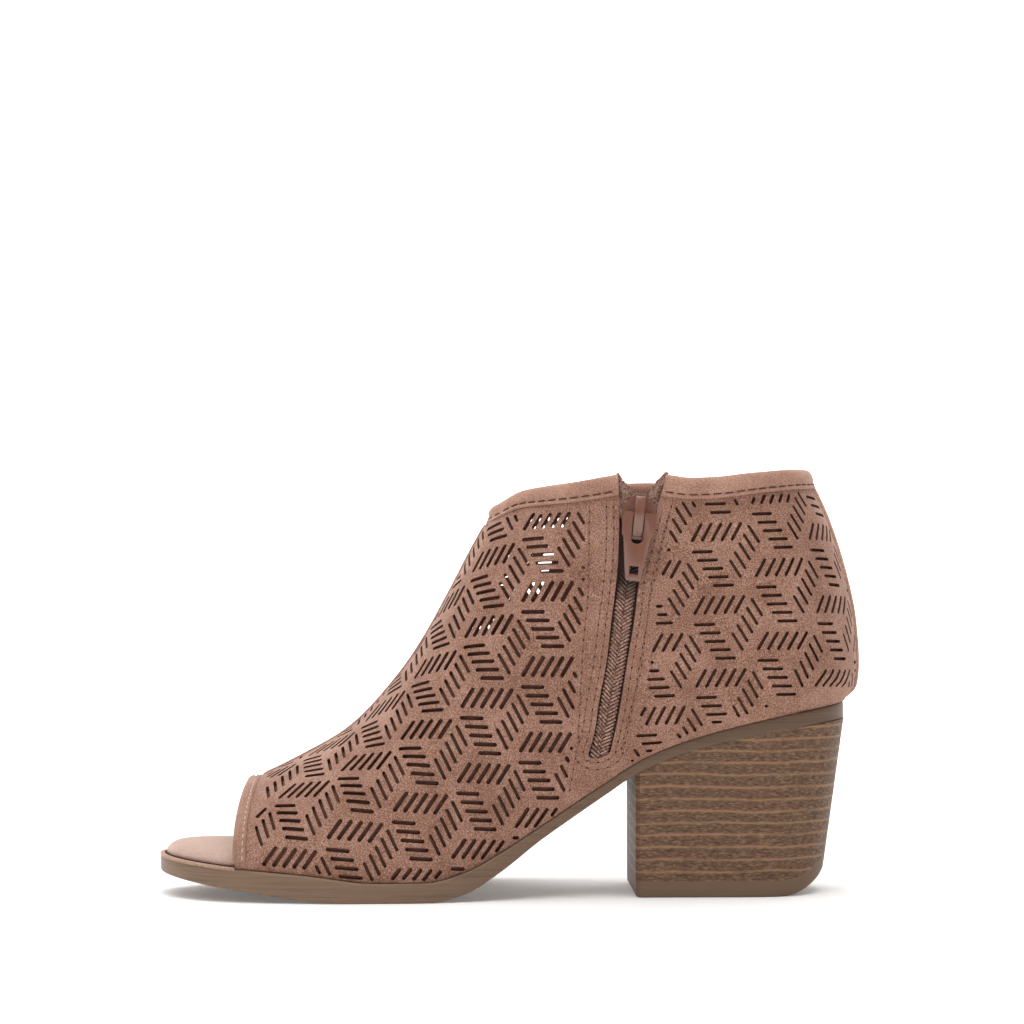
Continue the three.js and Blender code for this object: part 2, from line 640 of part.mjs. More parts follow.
// The pull lies along the zip at rest and turns about its own top bar, inside the bail.
function pull() {
  const bar = PULL_THICKNESS / 2;
  const [wide, tip] = [PULL_WIDTH / 2, PULL_TIP_WIDTH / 2];
  const window = BAIL_WIDTH / 2 + 0.4;
  const foot = PULL_WINDOW;
  return plate(mirrored([
    [-bar, 0.86 * wide], [0.12 * foot, wide], [0.82 * foot, 0.95 * wide],
    [0.92 * foot, 0.83 * wide], [PULL_LENGTH - 0.8, tip], [PULL_LENGTH, 0.8 * tip],
  ]), -bar, bar, [
    mirrored([[bar, window], [foot - 1.4, window], [foot - 0.4, 0.7 * window], [foot, 0.25 * window]]),
    mirrored([[0.78 * PULL_LENGTH, 0.55 * tip], [0.9 * PULL_LENGTH, 0.55 * tip]]),
  ]);
}

// Colours of the finishes
const SUEDE = { color: 0xa5796a, roughness: 0.9, metalness: 0 };
const UNIT = { color: 0x86715c, roughness: 0.6, metalness: 0 };
const STACK = { color: 0x7b6049, roughness: 0.65, metalness: 0 };
const WEAVE = { color: 0x8d6557, roughness: 0.8, metalness: 0 };
const ENAMEL = { color: 0xa27264, roughness: 0.35, metalness: 0.3 };

function node(name, solid, finish) {
  const { vertProperties, triVerts, numProp } = solid.getMesh();
  const geometry = new THREE.BufferGeometry();
  const corners = new Float32Array((vertProperties.length / numProp) * 3);
  for (let i = 0; i < corners.length / 3; i++) {
    corners.set(vertProperties.subarray(i * numProp, i * numProp + 3), i * 3);
  }
  geometry.setAttribute('position', new THREE.BufferAttribute(corners, 3));
  geometry.setIndex(new THREE.BufferAttribute(triVerts, 1));
  geometry.computeVertexNormals();
  const mesh = new THREE.Mesh(geometry, new THREE.MeshStandardMaterial(finish));
  mesh.name = name;
  return mesh;
}

const boot = new THREE.Group();
boot.add(
  node('outsole', outsole(), UNIT),
  node('heel_block', heelBlock(), STACK),
  node('heel_top_piece', topPiece(), UNIT),
  node('insole', insole(), SUEDE),
  node('upper', leather(), SUEDE),
  node('collar_binding', collarBinding(), SUEDE),
  node('toe_binding', toeBinding(), SUEDE),
  node('back_stay', backStay(), SUEDE),
  node('zip_tape_front', tape(-1), WEAVE),
  node('zip_tape_rear', tape(1), WEAVE),
  node('zip_coil', coil(), WEAVE),
);

// The slider and its pull are modelled flat, and carried to their place on the zip.
const seat = sliderFrame();
const zipSlider = node('zip_slider', slider(), ENAMEL);
zipSlider.applyMatrix4(seat);
const zipPull = node('zip_pull', pull(), ENAMEL);
zipPull.applyMatrix4(seat.clone().multiply(new THREE.Matrix4().makeTranslation(0, 0, AXIS_HEIGHT)));
boot.add(zipSlider, zipPull);

export default boot;
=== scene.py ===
import json
import math

import bmesh
import bpy
import numpy as np
from mathutils import Matrix, Vector
from mathutils.bvhtree import BVHTree

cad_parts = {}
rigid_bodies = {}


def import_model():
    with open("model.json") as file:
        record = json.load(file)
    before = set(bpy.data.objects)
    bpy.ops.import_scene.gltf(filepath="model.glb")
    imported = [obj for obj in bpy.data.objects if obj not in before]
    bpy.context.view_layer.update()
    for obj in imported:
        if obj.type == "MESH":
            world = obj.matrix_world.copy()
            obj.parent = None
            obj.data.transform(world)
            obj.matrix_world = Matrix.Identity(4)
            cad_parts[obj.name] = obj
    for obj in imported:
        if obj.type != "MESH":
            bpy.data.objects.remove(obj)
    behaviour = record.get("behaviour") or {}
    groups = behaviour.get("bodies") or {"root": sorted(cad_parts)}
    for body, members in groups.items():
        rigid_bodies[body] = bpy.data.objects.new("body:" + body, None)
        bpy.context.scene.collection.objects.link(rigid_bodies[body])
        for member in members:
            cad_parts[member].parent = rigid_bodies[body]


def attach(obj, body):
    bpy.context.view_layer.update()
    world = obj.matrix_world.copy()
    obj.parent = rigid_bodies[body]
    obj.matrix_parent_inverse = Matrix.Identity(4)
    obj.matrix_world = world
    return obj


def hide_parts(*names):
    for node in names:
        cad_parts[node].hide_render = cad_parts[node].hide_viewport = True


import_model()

for spare in ("Cube", "Light", "Camera"):
    if spare in bpy.data.objects:
        bpy.data.objects.remove(bpy.data.objects[spare])
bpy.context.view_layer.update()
MM = 0.001

# The boot's sizes in millimetres, as in the part's own source. Toe to -X, inner side to -Y.
LENGTH = 238.6
BALL_WIDTH = 86
FOREPART_THICKNESS = 6.6
TOE_SPRING = 6.8
HEEL_RISE = 59
SHAFT = 78
INSTEP = 112
WALL = 1.8
GAP = 0.3
RIM = 1.7
COUNTER_OVERHANG = 5.1
HEEL_BULGE = 3.4
FOREPART_BULGE = 1.3
BULGE_HEIGHT = 9
BACK_LEAN = 17.6
ANKLE_WIDTH = 59
LATERAL_DIP = 2.4
HEEL_ROUND = 30
TOE_ROUND = 36
VAMP_ROUND = 25
COLLAR_ROUND = 42
OPENING_SETBACK = 26
OPENING_LEAN = 6.5
OPENING_HEIGHT = 29.6
STAY_THICKNESS = 1
ZIP_FOOT = 0.09
SLIDER_UP = 0.865
SLIDER_TOP_UP = 0.95
X_TOE = -LENGTH / 2
X_BACK = LENGTH / 2 - STAY_THICKNESS + 0.4
X_SOLE_BACK = LENGTH / 2 - COUNTER_OVERHANG
SEAT = FOREPART_THICKNESS + HEEL_RISE


def table(names, *rows):
    """Columns by name from rows of numbers; most are shares of the sizes above."""
    return dict(zip(names.split(), np.array(rows, float).T))


SOLE = table("at spring rise thick",
             (0.0, 1.0, 0, 0.85), (0.065, 0.8, 0, 1.0), (0.15, 0.55, 0, 1.14),
             (0.21, 0.38, 0, 1.26), (0.265, 0.14, 0, 1.145), (0.3, 0, 0, 1.0),
             (0.378, 0, 0, 1.0), (0.43, 0, 0.05, 1.1), (0.486, 0, 0.166, 0.95),
             (0.542, 0, 0.308, 0.67), (0.627, 0, 0.531, 0.6), (0.683, 0, 0.675, 0.57),
             (0.739, 0, 0.77, 0.57), (0.852, 0, 0.895, 0.71), (1.0, 0, 1.006, 0.95))
PLAN = table("at centre half",
             (0.0, -0.07, 0.326), (0.1, -0.041, 0.395), (0.18, -0.023, 0.453),
             (0.27, -0.006, 0.494), (0.353, 0.0035, 0.4965), (0.43, 0.017, 0.471),
             (0.515, 0.035, 0.424), (0.6, 0.041, 0.378), (0.683, 0.026, 0.345),
             (0.78, 0.009, 0.334), (0.877, 0, 0.326), (1.0, 0, 0.326))
FRONT = table("at up",
              (0.05, 0.165), (0.091, 0.21), (0.135, 0.251), (0.204, 0.333), (0.273, 0.44),
              (0.342, 0.606), (0.376, 0.713), (0.411, 0.834), (0.4455, 0.948),
              (0.4706, 1.012), (0.489, 1.043), (0.51, 1.072), (0.529, 1.11))
BACK = table("over lean",
             (-0.12, 0.46), (0, 0.22), (0.045, 0.07), (0.1, 0.015), (0.18, 0), (0.3, 0.035),
             (0.4, 0.09), (0.5, 0.185), (0.6, 0.3), (0.7, 0.44), (0.8, 0.6), (0.9, 0.8),
             (1.0, 1.0), (1.16, 1.3))
COLLAR = table("at over",
               (0.42, 0.79), (0.467, 0.83), (0.482, 0.85), (0.497, 0.877), (0.514, 0.902),
               (0.548, 0.922), (0.615, 0.949), (0.655, 0.97), (0.71, 0.976), (0.75, 0.962),
               (0.79, 0.967), (0.835, 0.984), (0.908, 1.0), (1.05, 1.0))
ZIP = table("up at",
            (0.09, 0.6225), (0.26, 0.644), (0.41, 0.657), (0.575, 0.666), (0.74, 0.676),
            (0.87, 0.681), (1.0, 0.684), (1.1, 0.686))


def column(rows, by, name, at):
    """Value of a column at places along a table, on a monotone cubic."""
    x, y = rows[by], rows[name]
    step, slope = np.diff(x), np.diff(y) / np.diff(x)
    both = slope[:-1] * slope[1:]
    inner = np.where(both <= 0, 0, 2 * both / np.where(both <= 0, 1, slope[:-1] + slope[1:]))
    tangent = np.concatenate([slope[:1], inner, slope[-1:]])
    t = np.clip(at, x[0], x[-1])
    i = np.clip(np.searchsorted(x, t, "right") - 1, 0, len(x) - 2)
    u = (t - x[i]) / step[i]
    return ((1 + 2 * u) * (1 - u) ** 2 * y[i] + u * (1 - u) ** 2 * step[i] * tangent[i]
            + u * u * (3 - 2 * u) * y[i + 1] + u * u * (u - 1) * step[i] * tangent[i + 1])


def share_at(x):
    return (np.asarray(x, float) - X_TOE) / LENGTH


def x_at(share):
    return X_TOE + share * LENGTH


def smooth(t):
    t = np.clip(t, 0, 1)
    return t * t * (3 - 2 * t)


def unit(v):
    return v / np.linalg.norm(v, axis=-1, keepdims=True)


def run_of(path):
    """Length along a path up to each of its points."""
    return np.concatenate([[0], np.cumsum(np.linalg.norm(np.diff(path, axis=0), axis=1))])


def at_run(path, run, at):
    """Places on a path at some lengths along it."""
    return np.stack([np.interp(at, run, path[:, k]) for k in range(path.shape[1])], -1)


def even(path, count):
    """A path of points taken again at equal steps of its length."""
    run = run_of(path)
    return at_run(path, run, np.linspace(0, run[-1], count))


def quads_of(n):
    """Corner numbers of the quads of a grid of numbered points."""
    return np.stack([n[:-1, :-1], n[1:, :-1], n[1:, 1:], n[:-1, 1:]], -1)


def sole_top(x):
    at = share_at(x)
    return (FOREPART_THICKNESS + TOE_SPRING * column(SOLE, "at", "spring", at)
            + HEEL_RISE * column(SOLE, "at", "rise", at))


def sole_bottom(x):
    return sole_top(x) - FOREPART_THICKNESS * column(SOLE, "at", "thick", share_at(x))


def plan_centre(x):
    return BALL_WIDTH * column(PLAN, "at", "centre", share_at(x))


def plan_half(x):
    return BALL_WIDTH * column(PLAN, "at", "half", share_at(x))


def rounding(depth, power=2.0):
    """0 at an edge, 1 at a depth of one and beyond: the side of a superellipse."""
    return (1 - (1 - np.clip(depth, 0, 1)) ** power) ** (1 / power)


def outline_half(x, grow):
    """Half width of the sole's outline, grown outwards all round."""
    toe = rounding((x - X_TOE + grow) / (TOE_ROUND + grow), 2.2)
    heel = rounding((X_SOLE_BACK - x + grow) / (HEEL_ROUND + grow), 2.1)
    return (plan_half(x) + grow) * toe * heel


def collar_z(x, side=-1):
    dip = LATERAL_DIP * np.sin(np.pi * np.clip((share_at(x) - 0.47) / 0.46, 0, 1))
    return SEAT + SHAFT * column(COLLAR, "at", "over", share_at(x)) - (dip if side > 0 else 0)


def flowing(points, count):
    """Points at equal steps on a centripetal Catmull-Rom curve through some points."""
    p = np.vstack([2 * points[0] - points[1], points, 2 * points[-1] - points[-2]])
    dense = []
    for a, b, c, d in zip(p, p[1:], p[2:], p[3:]):
        k0, k1, k2 = (math.sqrt(np.linalg.norm(q - r)) for q, r in ((b, a), (c, b), (d, c)))
        s = ((b - a) / k0 - (c - a) / (k0 + k1) + (c - b) / k1) * k1
        e = ((c - b) / k1 - (d - b) / (k1 + k2) + (d - c) / k2) * k1
        t = np.linspace(0, 1, 40, endpoint=False)[:, None]
        dense.append(b + s * t + (3 * (c - b) - 2 * s - e) * t ** 2
                     + (2 * (b - c) + s + e) * t ** 3)
    return even(np.vstack(dense + [points[-1:]]), count)


front_x = x_at(FRONT["at"])
front_line = flowing(np.stack([front_x, sole_top(front_x) + INSTEP * FRONT["up"]], 1), 141)
back_line = flowing(np.stack([X_BACK - BACK_LEAN * BACK["lean"], SEAT + SHAFT * BACK["over"]], 1),
                    141)


def depth_inside(line, inward, x, z):
    """Distance of places in the side view inside a line, negative outside it."""
    x, z = np.broadcast_arrays(np.asarray(x, float), np.asarray(z, float))
    best = np.full(x.shape, np.inf)
    sign = np.ones(x.shape)
    for a, b in zip(line, line[1:]):
        d = b - a
        t = np.clip(((x - a[0]) * d[0] + (z - a[1]) * d[1]) / (d @ d), 0, 1)
        ex, ez = x - a[0] - t * d[0], z - a[1] - t * d[1]
        away = np.hypot(ex, ez)
        near = away < best
        best = np.where(near, away, best)
        sign = np.where(near, np.sign(d[1] * ex - d[0] * ez) * inward, sign)
    return best * sign


def half_width(x, z, side, grow=0.0):
    """Half width of the upper's form at places in the side view."""
    over = z - sole_top(x)
    full = np.clip(over / BULGE_HEIGHT, 0, 1)
    to_heel = smooth((share_at(x) - 0.4) / 0.35)
    bulge = (FOREPART_BULGE + (HEEL_BULGE - FOREPART_BULGE) * to_heel) * (1 - (1 - full) ** 2)
    seam = plan_half(x) + side * plan_centre(x) - (RIM + (GAP - RIM) * to_heel)
    climb = smooth((over - BULGE_HEIGHT) / (SEAT + SHAFT - BULGE_HEIGHT - sole_top(x)))
    wall = (seam + bulge) * (1 - climb) + ANKLE_WIDTH / 2 * climb
    high = np.clip((z - SEAT / 2) / (SEAT / 2 + SHAFT), 0, 1)
    front_round = VAMP_ROUND + (COLLAR_ROUND - VAMP_ROUND) * high + grow
    front = rounding((depth_inside(front_line, 1, x, z) + grow) / front_round)
    back = rounding((depth_inside(back_line, -1, x, z) + grow) / (HEEL_ROUND + grow), 2.1)
    return (wall + grow) * front * back


def opening_x(z):
    """Place of the toe opening's edge at some heights."""
    foot = sole_top(X_TOE + OPENING_SETBACK)
    share = np.clip((z - foot) / OPENING_HEIGHT, 0, 1)
    return X_TOE + OPENING_SETBACK + OPENING_LEAN * (1 - np.sqrt(1 - share ** 2.4))


zip_up = np.linspace(0, 1.1, 120)
zip_x = x_at(column(ZIP, "up", "at", zip_up))
zip_z = sole_top(zip_x) + (collar_z(zip_x) - sole_top(zip_x)) * zip_up


def side_point(x, z, side, lift=0.0):
    """A place of the side view on the upper, lifted off its surface by some millimetres."""
    x, z = np.asarray(x, float), np.asarray(z, float)
    point = np.stack([x, side * half_width(x, z, side), z], -1)
    return point + np.asarray(lift)[..., None] * side_normal(x, z, side)


def side_normal(x, z, side, reach=0.25):
    span = []
    for dx, dz in ((reach, 0), (0, reach)):
        a = np.stack([x + dx, half_width(x + dx, z + dz, side), z + dz], -1)
        b = np.stack([x - dx, half_width(x - dx, z - dz, side), z - dz], -1)
        span.append(a - b)
    return unit(np.cross(span[1], span[0])) * np.array([1, side, 1])


def new_object(name, data):
    made = bpy.data.objects.new(name, data)
    bpy.context.scene.collection.objects.link(made)
    return made


def new_mesh(name, points, faces=()):
    """A mesh in metres from points in millimetres."""
    mesh = bpy.data.meshes.new(name)
    mesh.from_pydata([tuple(p) for p in np.asarray(points, float) * MM], [],
                     [tuple(f) for f in faces])
    return mesh


def evaluated_mesh(obj):
    """What an object's modifiers make of it, as a plain mesh."""
    depsgraph = bpy.context.evaluated_depsgraph_get()
    return bpy.data.meshes.new_from_object(obj.evaluated_get(depsgraph), depsgraph=depsgraph)


def smooth_shade(obj, sharp=40):
    """Smooth faces, with edges over an angle in degrees kept sharp."""
    bm = bmesh.new()
    bm.from_mesh(obj.data)
    for face in bm.faces:
        face.smooth = True
    for edge in bm.edges:
        edge.smooth = not (edge.is_manifold and edge.calc_face_angle(0) > math.radians(sharp))
    bm.to_mesh(obj.data)
    bm.free()


def mesh_piece(name, points, faces, material=None, sharp=40):
    """An object from points in millimetres, smooth except over sharp edges."""
    mesh = new_mesh(name, points, faces)
    mesh.validate()
    if material:
        mesh.materials.append(material)
    made = new_object(name, mesh)
    smooth_shade(made, sharp)
    return made


# Grid of one side of the upper, from the toe opening to the back seam and from the feather
# line up to the vamp's ridge and the collar, all as places [x, z] of the side view.
ALONG, UP = 168, 66
THROAT_SHARE = 0.47
LEATHER_IN_BINDING = 1.0
FEATHER_GAP = 0.15
DENSE = 1500
RIB_POINTS = 240


def on_form(path, side):
    """A side-view path as points on the upper's form."""
    return np.stack([path[:, 0], side * half_width(path[:, 0], path[:, 1], side), path[:, 1]], 1)


def even_on_form(path, side, count):
    """A side-view path taken again at equal steps of its length on the upper's form."""
    run = run_of(on_form(path, side))
    return at_run(path, run, np.linspace(0, run[-1], count))


def side_grid(side):
    """The grid of one side, and the column at which the ridge gives way to the collar."""
    foot = sole_top(X_TOE + OPENING_SETBACK)
    angle = np.linspace(0, np.pi / 2, 400)
    z = foot + FEATHER_GAP + (OPENING_HEIGHT - FEATHER_GAP) * np.sin(angle)
    toe = np.stack([opening_x(z) + LEATHER_IN_BINDING, z], 1)
    inside = depth_inside(front_line, 1, toe[:, 0], toe[:, 1]) > 0
    toe = toe[: np.argmin(inside)] if not inside.all() else toe
    dense_front = even(front_line, DENSE)
    ridge_from = np.argmin(np.hypot(*(dense_front - toe[-1]).T))
    toe[-1] = dense_front[ridge_from]
    collar_top = collar_z(dense_front[:, 0], side) - LEATHER_IN_BINDING
    ridge_to = np.argmax(dense_front[:, 1] > collar_top)
    ridge = dense_front[ridge_from:ridge_to + 1]
    dense_back = even(back_line, DENSE)
    high = np.argmax(dense_back[:, 1] > collar_z(dense_back[:, 0], side) - LEATHER_IN_BINDING)
    low = np.argmax(dense_back[:, 1] > sole_top(dense_back[:, 0]) + FEATHER_GAP)
    back = dense_back[low:high + 1]
    x = np.linspace(ridge[-1, 0], back[-1, 0], 600)
    rim = np.stack([x, collar_z(x, side) - LEATHER_IN_BINDING], 1)
    rim[0], rim[-1] = ridge[-1], back[-1]
    x = np.linspace(toe[0, 0], back[0, 0], 900)
    feather = np.stack([x, sole_top(x) + FEATHER_GAP], 1)
    feather[-1] = back[0]
    split = int(round(ALONG * THROAT_SHARE))
    top = np.vstack([even_on_form(ridge, side, split + 1),
                     even_on_form(rim, side, ALONG - split + 1)[1:]])
    bottom = even_on_form(feather, side, ALONG + 1)
    left, right = even_on_form(toe, side, RIB_POINTS), even(back, RIB_POINTS)
    u = np.linspace(0, 1, ALONG + 1)[:, None, None]
    v = np.linspace(0, 1, RIB_POINTS)[None, :, None]
    grid = ((1 - v) * bottom[:, None] + v * top[:, None] + (1 - u) * left[None] + u * right[None]
            - (1 - u) * (1 - v) * bottom[0] - u * (1 - v) * bottom[-1]
            - (1 - u) * v * top[0] - u * v * top[-1])
    return np.stack([even_on_form(rib, side, UP + 1) if i < ALONG else even(rib, UP + 1)
                     for i, rib in enumerate(grid)]), split


grids = {side: side_grid(side) for side in (-1, 1)}


def linear(code):
    """Linear colour of an sRGB hex value."""
    values = [int(code[i:i + 2], 16) / 255 for i in (1, 3, 5)]
    return (*(v / 12.92 if v <= 0.04045 else ((v + 0.055) / 1.055) ** 2.4 for v in values), 1)


def add(tree, kind, links=None, stops=(), **settings):
    """A node with its settings; stops are a colour ramp's places and colours.

    links fills its sockets, from nodes, sockets or plain values; a list of nodes fills a socket
    that takes many."""
    made = tree.nodes.new(kind)
    for key, value in settings.items():
        setattr(made, key, value)
    if stops:
        elements = made.color_ramp.elements
        while len(elements) < len(stops):
            elements.new(0.5)
        for element, (at, code) in zip(elements, stops):
            element.position, element.color = at, linear(code)
    for socket, value in (links or {}).items():
        for source in value if isinstance(value, list) else [value]:
            source = source.outputs[0] if isinstance(source, bpy.types.Node) else source
            if isinstance(source, bpy.types.NodeSocket):
                tree.links.new(source, made.inputs[socket])
            else:
                made.inputs[socket].default_value = source
    return made


def new_material(name):
    """A material, its empty node tree, and the Object coordinates that its patterns read."""
    material = bpy.data.materials.new(name)
    material.use_nodes = True
    tree = material.node_tree
    tree.nodes.clear()
    return material, tree, add(tree, "ShaderNodeTexCoord").outputs["Object"]


def nubuck(name, dark, mid, light, nap=0.35, speckle=0.74):
    # Nubuck: leather buffed on its grain side. A short nap makes it matt with a pale bloom at
    # grazing angles; dye takes unevenly, so broad soft blotches and fine specks show.
    material, tree, place = new_material(name)
    # blotches about 14 mm wide, specks about 0.4 mm, drawn coarser than the real 0.2 mm nap
    broad = add(tree, "ShaderNodeTexNoise",
                {"Vector": place, "Scale": 70, "Detail": 5, "Roughness": 0.62})
    speck = add(tree, "ShaderNodeTexNoise",
                {"Vector": place, "Scale": 2400, "Detail": 3, "Roughness": 0.65})
    both = add(tree, "ShaderNodeMix", {0: speckle, 2: broad, 3: speck}, data_type="FLOAT")
    colour = add(tree, "ShaderNodeValToRGB", {"Fac": both},
                 stops=((0.38, dark), (0.5, mid), (0.62, light)))
    bump = add(tree, "ShaderNodeBump", {"Strength": 0.12, "Distance": 0.0004, "Height": speck})
    shader = add(tree, "ShaderNodeBsdfPrincipled",
                 {"Base Color": colour, "Roughness": 0.86, "IOR": 1.5, "Sheen Weight": nap,
                  "Sheen Roughness": 0.5, "Sheen Tint": linear("#f1d9cc"),
                  "Specular IOR Level": 0.3, "Normal": bump})
    add(tree, "ShaderNodeOutputMaterial", {"Surface": shader})
    return material


def plain(name, code, roughness, coat=0.0):
    # An evenly dyed or painted finish with no pattern that would show at this size.
    material, tree, _ = new_material(name)
    shader = add(tree, "ShaderNodeBsdfPrincipled",
                 {"Base Color": linear(code), "Roughness": roughness, "IOR": 1.5,
                  "Coat Weight": coat})
    add(tree, "ShaderNodeOutputMaterial", {"Surface": shader})
    return material


def strands(name, dark, light, scale, roughness, painted_shade_heights=(1.0, 1.1)):
    # Fine dyed yarns: each loop catches the light a little differently. Between two heights in
    # metres, close under a zip's slider, the yarn is painted darker: painted shade under the slider
    # and its pull.
    material, tree, place = new_material(name)
    yarn = add(tree, "ShaderNodeTexNoise",
               {"Vector": place, "Scale": scale, "Detail": 2, "Roughness": 0.6})
    colour = add(tree, "ShaderNodeValToRGB", {"Fac": yarn}, stops=((0.38, dark), (0.62, light)))
    # painted shade: between the two heights the yarn's colour darkens towards #331f18
    height = add(tree, "ShaderNodeSeparateXYZ", {"Vector": place}).outputs["Z"]
    high = add(tree, "ShaderNodeMapRange", {"Value": height, "From Min": painted_shade_heights[0],
                                            "From Max": painted_shade_heights[1], "To Min": 0, "To Max": 0.97})
    toned = add(tree, "ShaderNodeMix", {0: high, 6: colour, 7: linear("#331f18")},
                data_type="RGBA")
    shader = add(tree, "ShaderNodeBsdfPrincipled",
                 {"Base Color": toned.outputs[2], "Roughness": roughness, "IOR": 1.53})
    add(tree, "ShaderNodeOutputMaterial", {"Surface": shader})
    return material


def from_middle(tree, height, spacing):
    """How far a height lies from the middle of its layer, as a share of the layers' spacing."""
    steps = add(tree, "ShaderNodeMath", {0: height, 1: 1000 / spacing}, operation="MULTIPLY")
    turn = add(tree, "ShaderNodeMath", {0: steps}, operation="FRACT")
    off = add(tree, "ShaderNodeMath", {0: turn, 1: 0.5}, operation="SUBTRACT")
    return add(tree, "ShaderNodeMath", {0: off}, operation="ABSOLUTE")


def moulded_unit():
    # Moulded thermoplastic rubber: satin, with faint level flow marks 2.2 mm apart. It is painted
    # darker towards the heel: painted shade, where its edge gets less light.
    material, tree, place = new_material("rubber_unit_moulded")
    # streaks about 33 mm long and 0.7 mm high
    flat = add(tree, "ShaderNodeMapping", {"Vector": place, "Scale": (30, 30, 1400)})
    grain = add(tree, "ShaderNodeTexNoise",
                {"Vector": flat, "Scale": 1, "Detail": 6, "Roughness": 0.6})
    axes = add(tree, "ShaderNodeSeparateXYZ", {"Vector": place})
    band = add(tree, "ShaderNodeMapRange",
               {"Value": from_middle(tree, axes.outputs["Z"], 2.2), "From Min": 0.1,
                "From Max": 0.2, "To Min": 1, "To Max": 0})
    base = add(tree, "ShaderNodeValToRGB", {"Fac": grain},
               stops=((0.32, "#725b47"), (0.68, "#8c705a")))
    marks = add(tree, "ShaderNodeMix", {0: band, 6: base, 7: linear("#846852")},
                data_type="RGBA")
    # painted shade: the colour is multiplied down towards the heel
    back = add(tree, "ShaderNodeMapRange", {"Value": axes.outputs["X"], "From Min": -0.06,
                                            "From Max": 0.07, "To Min": 0, "To Max": 1})
    painted_heel_shade = add(tree, "ShaderNodeValToRGB", {"Fac": back}, stops=((0, "#ffffff"), (1, "#cdc7bf")))
    colour = add(tree, "ShaderNodeMix", {0: 1.0, 6: marks.outputs[2], 7: painted_heel_shade},
                 data_type="RGBA", blend_type="MULTIPLY")
    bump = add(tree, "ShaderNodeBump", {"Strength": 0.12, "Distance": 0.0003, "Height": grain})
    shader = add(tree, "ShaderNodeBsdfPrincipled",
                 {"Base Color": colour.outputs[2], "Roughness": 0.55, "IOR": 1.5, "Normal": bump})
    add(tree, "ShaderNodeOutputMaterial", {"Surface": shader})
    return material


def stack_print():
    # ABS heel in a printed wrap that imitates stacked leather: dark speckled layers parted by
    # thin tan lines that waver and fade, under a satin lacquer.
    material, tree, place = new_material("abs_heel_stack_print")
    height = add(tree, "ShaderNodeSeparateXYZ", {"Vector": place}).outputs["Z"]
    long_wave = add(tree, "ShaderNodeMapping", {"Vector": place, "Scale": (42, 42, 60)})
    wave = add(tree, "ShaderNodeTexNoise", {"Vector": long_wave, "Scale": 1, "Detail": 2})
    # the lines waver by about 0.8 mm over some 24 mm, and lie 4.05 mm apart
    sway = add(tree, "ShaderNodeMath", {0: wave, 1: 0.0026, 2: height}, operation="MULTIPLY_ADD")
    line = add(tree, "ShaderNodeMapRange",
               {"Value": from_middle(tree, sway, 4.05), "From Min": 0.01, "From Max": 0.17,
                "To Min": 0.85, "To Max": 0})
    fade_at = add(tree, "ShaderNodeMapping", {"Vector": place, "Scale": (70, 70, 240)})
    fade = add(tree, "ShaderNodeTexNoise", {"Vector": fade_at, "Scale": 1, "Detail": 3})
    fading = add(tree, "ShaderNodeMapRange", {"Value": fade, "From Min": 0.3, "From Max": 0.55,
                                              "To Min": 0.35, "To Max": 1})
    strength = add(tree, "ShaderNodeMath", {0: line, 1: fading}, operation="MULTIPLY")
    # printed fibres 0.5 mm by 2 mm, drawn a little coarser than the real ones
    fibre_at = add(tree, "ShaderNodeMapping", {"Vector": place, "Scale": (520, 520, 2100)})
    fibre = add(tree, "ShaderNodeTexNoise",
                {"Vector": fibre_at, "Scale": 1, "Detail": 4, "Roughness": 0.7})
    ground = add(tree, "ShaderNodeValToRGB", {"Fac": fibre},
                 stops=((0.36, "#473428"), (0.5, "#694f3d"), (0.64, "#8f6f55")))
    colour = add(tree, "ShaderNodeMix", {0: strength, 6: ground, 7: linear("#a17a5a")},
                 data_type="RGBA")
    shader = add(tree, "ShaderNodeBsdfPrincipled",
                 {"Base Color": colour.outputs[2], "Roughness": 0.6, "IOR": 1.5,
                  "Specular IOR Level": 0.3})
    add(tree, "ShaderNodeOutputMaterial", {"Surface": shader})
    return material


def paper_sweep():
    # Seamless white paper: matt. It glows with painted light, an emission weak near the boot, where
    # it lifts the shadows, and strong further back, so it stays white there.
    material, tree, place = new_material("paper_backdrop_white")
    depth = add(tree, "ShaderNodeSeparateXYZ", {"Vector": place}).outputs["Y"]
    painted_glow = add(tree, "ShaderNodeMapRange", {"Value": depth, "From Min": 0.18, "From Max": 0.7,
                                           "To Min": 0.12, "To Max": 0.9})
    shader = add(tree, "ShaderNodeBsdfPrincipled",
                 {"Base Color": linear("#f8f7f6"), "Roughness": 0.9, "IOR": 1.5,
                  "Emission Color": (1, 1, 1, 1), "Emission Strength": painted_glow})
    add(tree, "ShaderNodeOutputMaterial", {"Surface": shader})
    return material


UPPER = nubuck("nubuck_buffed", "#6f4b3a", "#986e5b", "#be9786")
# The bindings' nubuck is stretched round the fold and less specked. The collar's binding, also on
# the back stay, is painted paler: painted light for the top light falling on it.
BINDING_PAINTED_LIGHT = nubuck("nubuck_binding", "#91695a", "#b08571", "#c9a18f", speckle=0.66)
TOE_BINDING = nubuck("nubuck_toe_binding", "#805b4a", "#9b7562", "#b5907e", speckle=0.66)
# Pigskin suede of the sock and its rim: a longer, paler nap.
INSOLE = nubuck("pigskin_suede_lining", "#a98a7b", "#bc9f91", "#ccb1a4", nap=0.5)
RIM_SUEDE = nubuck("pigskin_suede_rim", "#94745f", "#ae8c76", "#c4a48f", nap=0.4)
# Cut edge of drum-dyed leather: the dye is darker in the raw fibre, and it is matt.
CUT_EDGE = plain("leather_cut_edge", "#5c3b2f", 0.9)
# A needle hole in it shows the raw fibre in shadow, darker still.
NEEDLE_HOLE = plain("leather_needle_hole", "#3c2620", 0.95)
